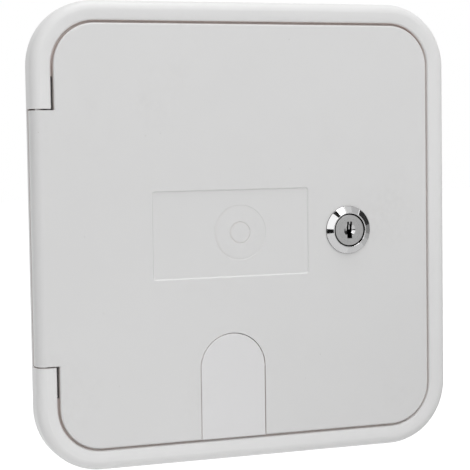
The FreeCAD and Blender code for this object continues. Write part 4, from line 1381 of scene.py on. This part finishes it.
@dataclass
class Studio:
    """Camera, floor, world and lights."""

    azimuth: float = -20.517
    elevation: float = 3.705
    roll: float = -0.844
    distance: float = 636.8 * MM
    target: Point = (-6.64 * MM, -9.6 * MM, -1.136 * MM)
    frame_pixels: float = 470.0
    focal_pixels: float = 1559.6
    clip_start: float = 0.01
    floor_height: float = -0.24
    floor_size: float = 12.0
    floor_colour: Colour = (0.86, 0.86, 0.86)
    floor_glow: float = 0.62
    shadow_dim: float = 0.37
    shadow_near: float = 0.25
    shadow_far: float = 0.6
    ambient: float = 0.483
    softboxes: Tuple[Softbox, ...] = (
        Softbox("top_softbox", (0.10, -0.55, 1.6), 1.3, 13.8),
        Softbox("front_softbox", (0.25, -1.60, 0.8), 0.9, 6.3),
    )
    flag: ShadeFlag = ShadeFlag("corner_flag", (0.145, -0.075, -0.13), 0.09)
    cards: Tuple[LockCard, ...] = (
        LockCard("right_flag", 17.0, 63.0, 0.03, flattest=8.0),
        LockCard("upper_right_grey", 63.0, 86.0, 0.46),
        LockCard("upper_grey", 86.0, 103.0, 0.60),
        LockCard("upper_pale", 103.0, 108.0, 0.80),
        LockCard("upper_strip", 127.0, 137.5, 0.01, flattest=8.0),
        LockCard("left_strip", 175.5, 186.5, 0.01, flattest=8.0),
        LockCard("lower_left_grey", 186.5, 260.0, 0.64, reach=0.25),
        LockCard("lower_grey", 260.0, 310.0, 0.57, reach=0.25),
        LockCard("lower_right_grey", 310.0, 332.0, 0.46, reach=0.25),
        LockCard("right_grey", 332.0, 348.0, 0.36, reach=0.25),
        LockCard("right_dusk", 348.0, 377.0, 0.22),
        LockCard("upper_front_grey", 0.0, 190.0, 0.50, reach=1.05, flattest=0.0, steepest=16.0),
        LockCard("lower_front_grey", 190.0, 360.0, 0.50, reach=0.3, flattest=0.0, steepest=16.0),
    )

    def build(self) -> None:
        """Set up the whole studio."""
        scene = bpy.context.scene
        scene.view_settings.view_transform = "Standard"
        self.build_camera(scene)
        self.build_floor()
        self.build_world(scene)
        for item in (*self.softboxes, self.flag):
            item.build()
            LOG.info("set %s", item.name)
        for card in self.cards:
            card.build(scene.camera.location)
            LOG.info("set %s", card.name)

    def build_camera(self, scene: bpy.types.Scene) -> None:
        """Stand the camera where the photograph was taken from.

        Args:
            scene: The scene that takes the camera.
        """
        azimuth, elevation, roll = map(math.radians, (self.azimuth, self.elevation, self.roll))
        level_part = math.cos(elevation)
        back = Vector(
            (math.sin(azimuth) * level_part, -math.cos(azimuth) * level_part, math.sin(elevation))
        )
        level = (-back).cross(Vector((0.0, 0.0, 1.0))).normalized()
        upright = level.cross(-back)
        right = level * math.cos(roll) + upright * math.sin(roll)
        up = upright * math.cos(roll) - level * math.sin(roll)
        camera = bpy.data.cameras.new("camera")
        camera.angle = 2 * math.atan(self.frame_pixels / 2 / self.focal_pixels)
        camera.clip_start = self.clip_start
        camera.dof.use_dof = False
        scene.camera = put_in_scene("camera", camera)
        scene.camera.matrix_world = place_at(Vector(self.target) + back * self.distance, right, up, back)

    @staticmethod
    def seen_directly(graph: Graph) -> Socket:
        """A mask of the rays that show the background itself or its mirror image.

        Args:
            graph: The tree of the floor's material or of the world.

        Returns:
            The mask's socket.
        """
        path = graph.add("ShaderNodeLightPath")
        mask = graph.math("MAXIMUM", path.outputs["Is Camera Ray"], path.outputs["Is Glossy Ray"])
        return graph.math("MAXIMUM", mask, path.outputs["Is Transmission Ray"])

    def build_floor(self) -> None:
        """Lay a pale floor that keeps a soft shadow and can be looked through from below."""
        material = bpy.data.materials.new("floor")
        graph = Graph.empty(material)
        camera_ray = graph.add("ShaderNodeLightPath").outputs["Is Camera Ray"]
        matt = graph.add("ShaderNodeBsdfDiffuse", {"Color": self.floor_colour})
        away = graph.vector_math("LENGTH", graph.place()).outputs["Value"]
        near = graph.spread(away, self.shadow_near, self.shadow_far, self.shadow_dim, 0.0)
        dim = graph.math("MULTIPLY", camera_ray, near)
        full = graph.math("MULTIPLY", self.seen_directly(graph), self.floor_glow)
        strength = graph.math("SUBTRACT", full, dim)
        glow = graph.add("ShaderNodeEmission", {"Color": WHITE, "Strength": strength})
        above = graph.add("ShaderNodeAddShader", {0: matt.outputs[0], 1: glow.outputs[0]}).outputs[0]
        below = graph.add("ShaderNodeNewGeometry").outputs["Backfacing"]
        clear = graph.add("ShaderNodeBsdfTransparent").outputs[0]
        share = graph.math("MULTIPLY", camera_ray, below)
        graph.show(graph.add("ShaderNodeMixShader", {0: share, 1: above, 2: clear}))
        floor = add_stage(square_mesh("floor", self.floor_size, material))
        floor.location = (0.0, 0.0, self.floor_height)

    def build_world(self, scene: bpy.types.Scene) -> None:
        """Make the world white to look at and softer as a light.

        Args:
            scene: The scene that takes the world.
        """
        scene.world = bpy.data.worlds.new("studio_world")
        graph = Graph.empty(scene.world)
        strength = graph.spread(self.seen_directly(graph), 0.0, 1.0, self.ambient, 1.0)
        sky = graph.add("ShaderNodeBackground", {"Color": WHITE, "Strength": strength})
        graph.show(sky, "ShaderNodeOutputWorld")


def make_finishes() -> Dict[Look, Finish]:
    """Choose the finish of every look.

    Returns:
        The finishes by look.
    """
    # Painted light and shade in the narrow gaps of each finish: paler colours paint light, darker ones
    # paint shade
    frame_gap_shading = GapShading((0.72, 0.56, 0.50), (0.98, 0.96, 0.95))
    lid_gap_shading = GapShading((0.95, 0.85, 0.80), (0.85, 0.77, 0.73))
    flap_gap_shading = GapShading((1.0, 0.98, 0.98))
    blue: Colour = (0.03, 0.12, 0.42)
    blue_gap_shading = GapShading((0.006, 0.02, 0.07))
    blue_dust: Colour = (0.20, 0.25, 0.35)
    dark_gap_shading = GapShading((0.01, 0.01, 0.01))
    grey_gap_shading = GapShading((0.05, 0.05, 0.05))
    lid_smears = {"mottle": 0.06, "mottle_scale": 11.0, "smear": 0.10}
    return {
        Look.FRAME: MouldedPlastic((0.778, 0.777, 0.776), gap_shading=frame_gap_shading),
        Look.LID: MouldedPlastic((0.72, 0.719, 0.718), gap_shading=lid_gap_shading, **lid_smears),
        Look.FLAP: MouldedPlastic((0.75, 0.747, 0.752), gap_shading=flap_gap_shading),
        Look.RUBBER: SealRubber((0.035, 0.035, 0.036)),
        Look.HINGE: PlatedSteel((0.62, 0.62, 0.62), (0.5, 0.5, 0.5)),
        Look.TUB: MouldedPlastic((0.62, 0.62, 0.61), roughness=0.5, grain_scale=1400.0, grain_strength=0.3),
        Look.INLET: MouldedPlastic(blue, roughness=0.4, gap_shading=blue_gap_shading, soil=blue_dust),
        Look.CARRIER: MouldedPlastic(
            (0.055, 0.056, 0.06), roughness=0.5, gap_shading=dark_gap_shading, soil=(0.2, 0.2, 0.2)
        ),
        Look.CONTACT: PlatedSteel((0.72, 0.68, 0.60), (0.66, 0.62, 0.54), roughness=0.24),
        Look.COVER: MouldedPlastic(blue, roughness=0.45, gap_shading=blue_gap_shading, soil=blue_dust),
        Look.GLAND: MouldedPlastic(
            (0.28, 0.29, 0.30), roughness=0.46, gap_shading=grey_gap_shading, soil=(0.5, 0.5, 0.5)
        ),
        Look.CHROME: PolishedMetal((0.90, 0.90, 0.905)),
        Look.SATIN: TurnedMetal((0.64, 0.64, 0.64), tuple(middle("lock_housing"))),
        Look.ZINC: PlatedSteel((0.62, 0.62, 0.60), (0.54, 0.55, 0.56)),
    }


def main() -> None:
    """Load the frame, build and dress each sub-assembly, and light the scene."""
    logging.basicConfig(level=logging.INFO, format="%(name)s: %(message)s")
    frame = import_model()
    book = FinishBook(make_finishes())
    for kind in (WallFrame, HingedLid, CamLock, CableFlap, RecessTub, PowerInlet, WiringGland):
        assembly = kind(frame, book)
        assembly.build()
        assembly.dress()
    Studio().build()


if __name__ == "__main__":
    main()
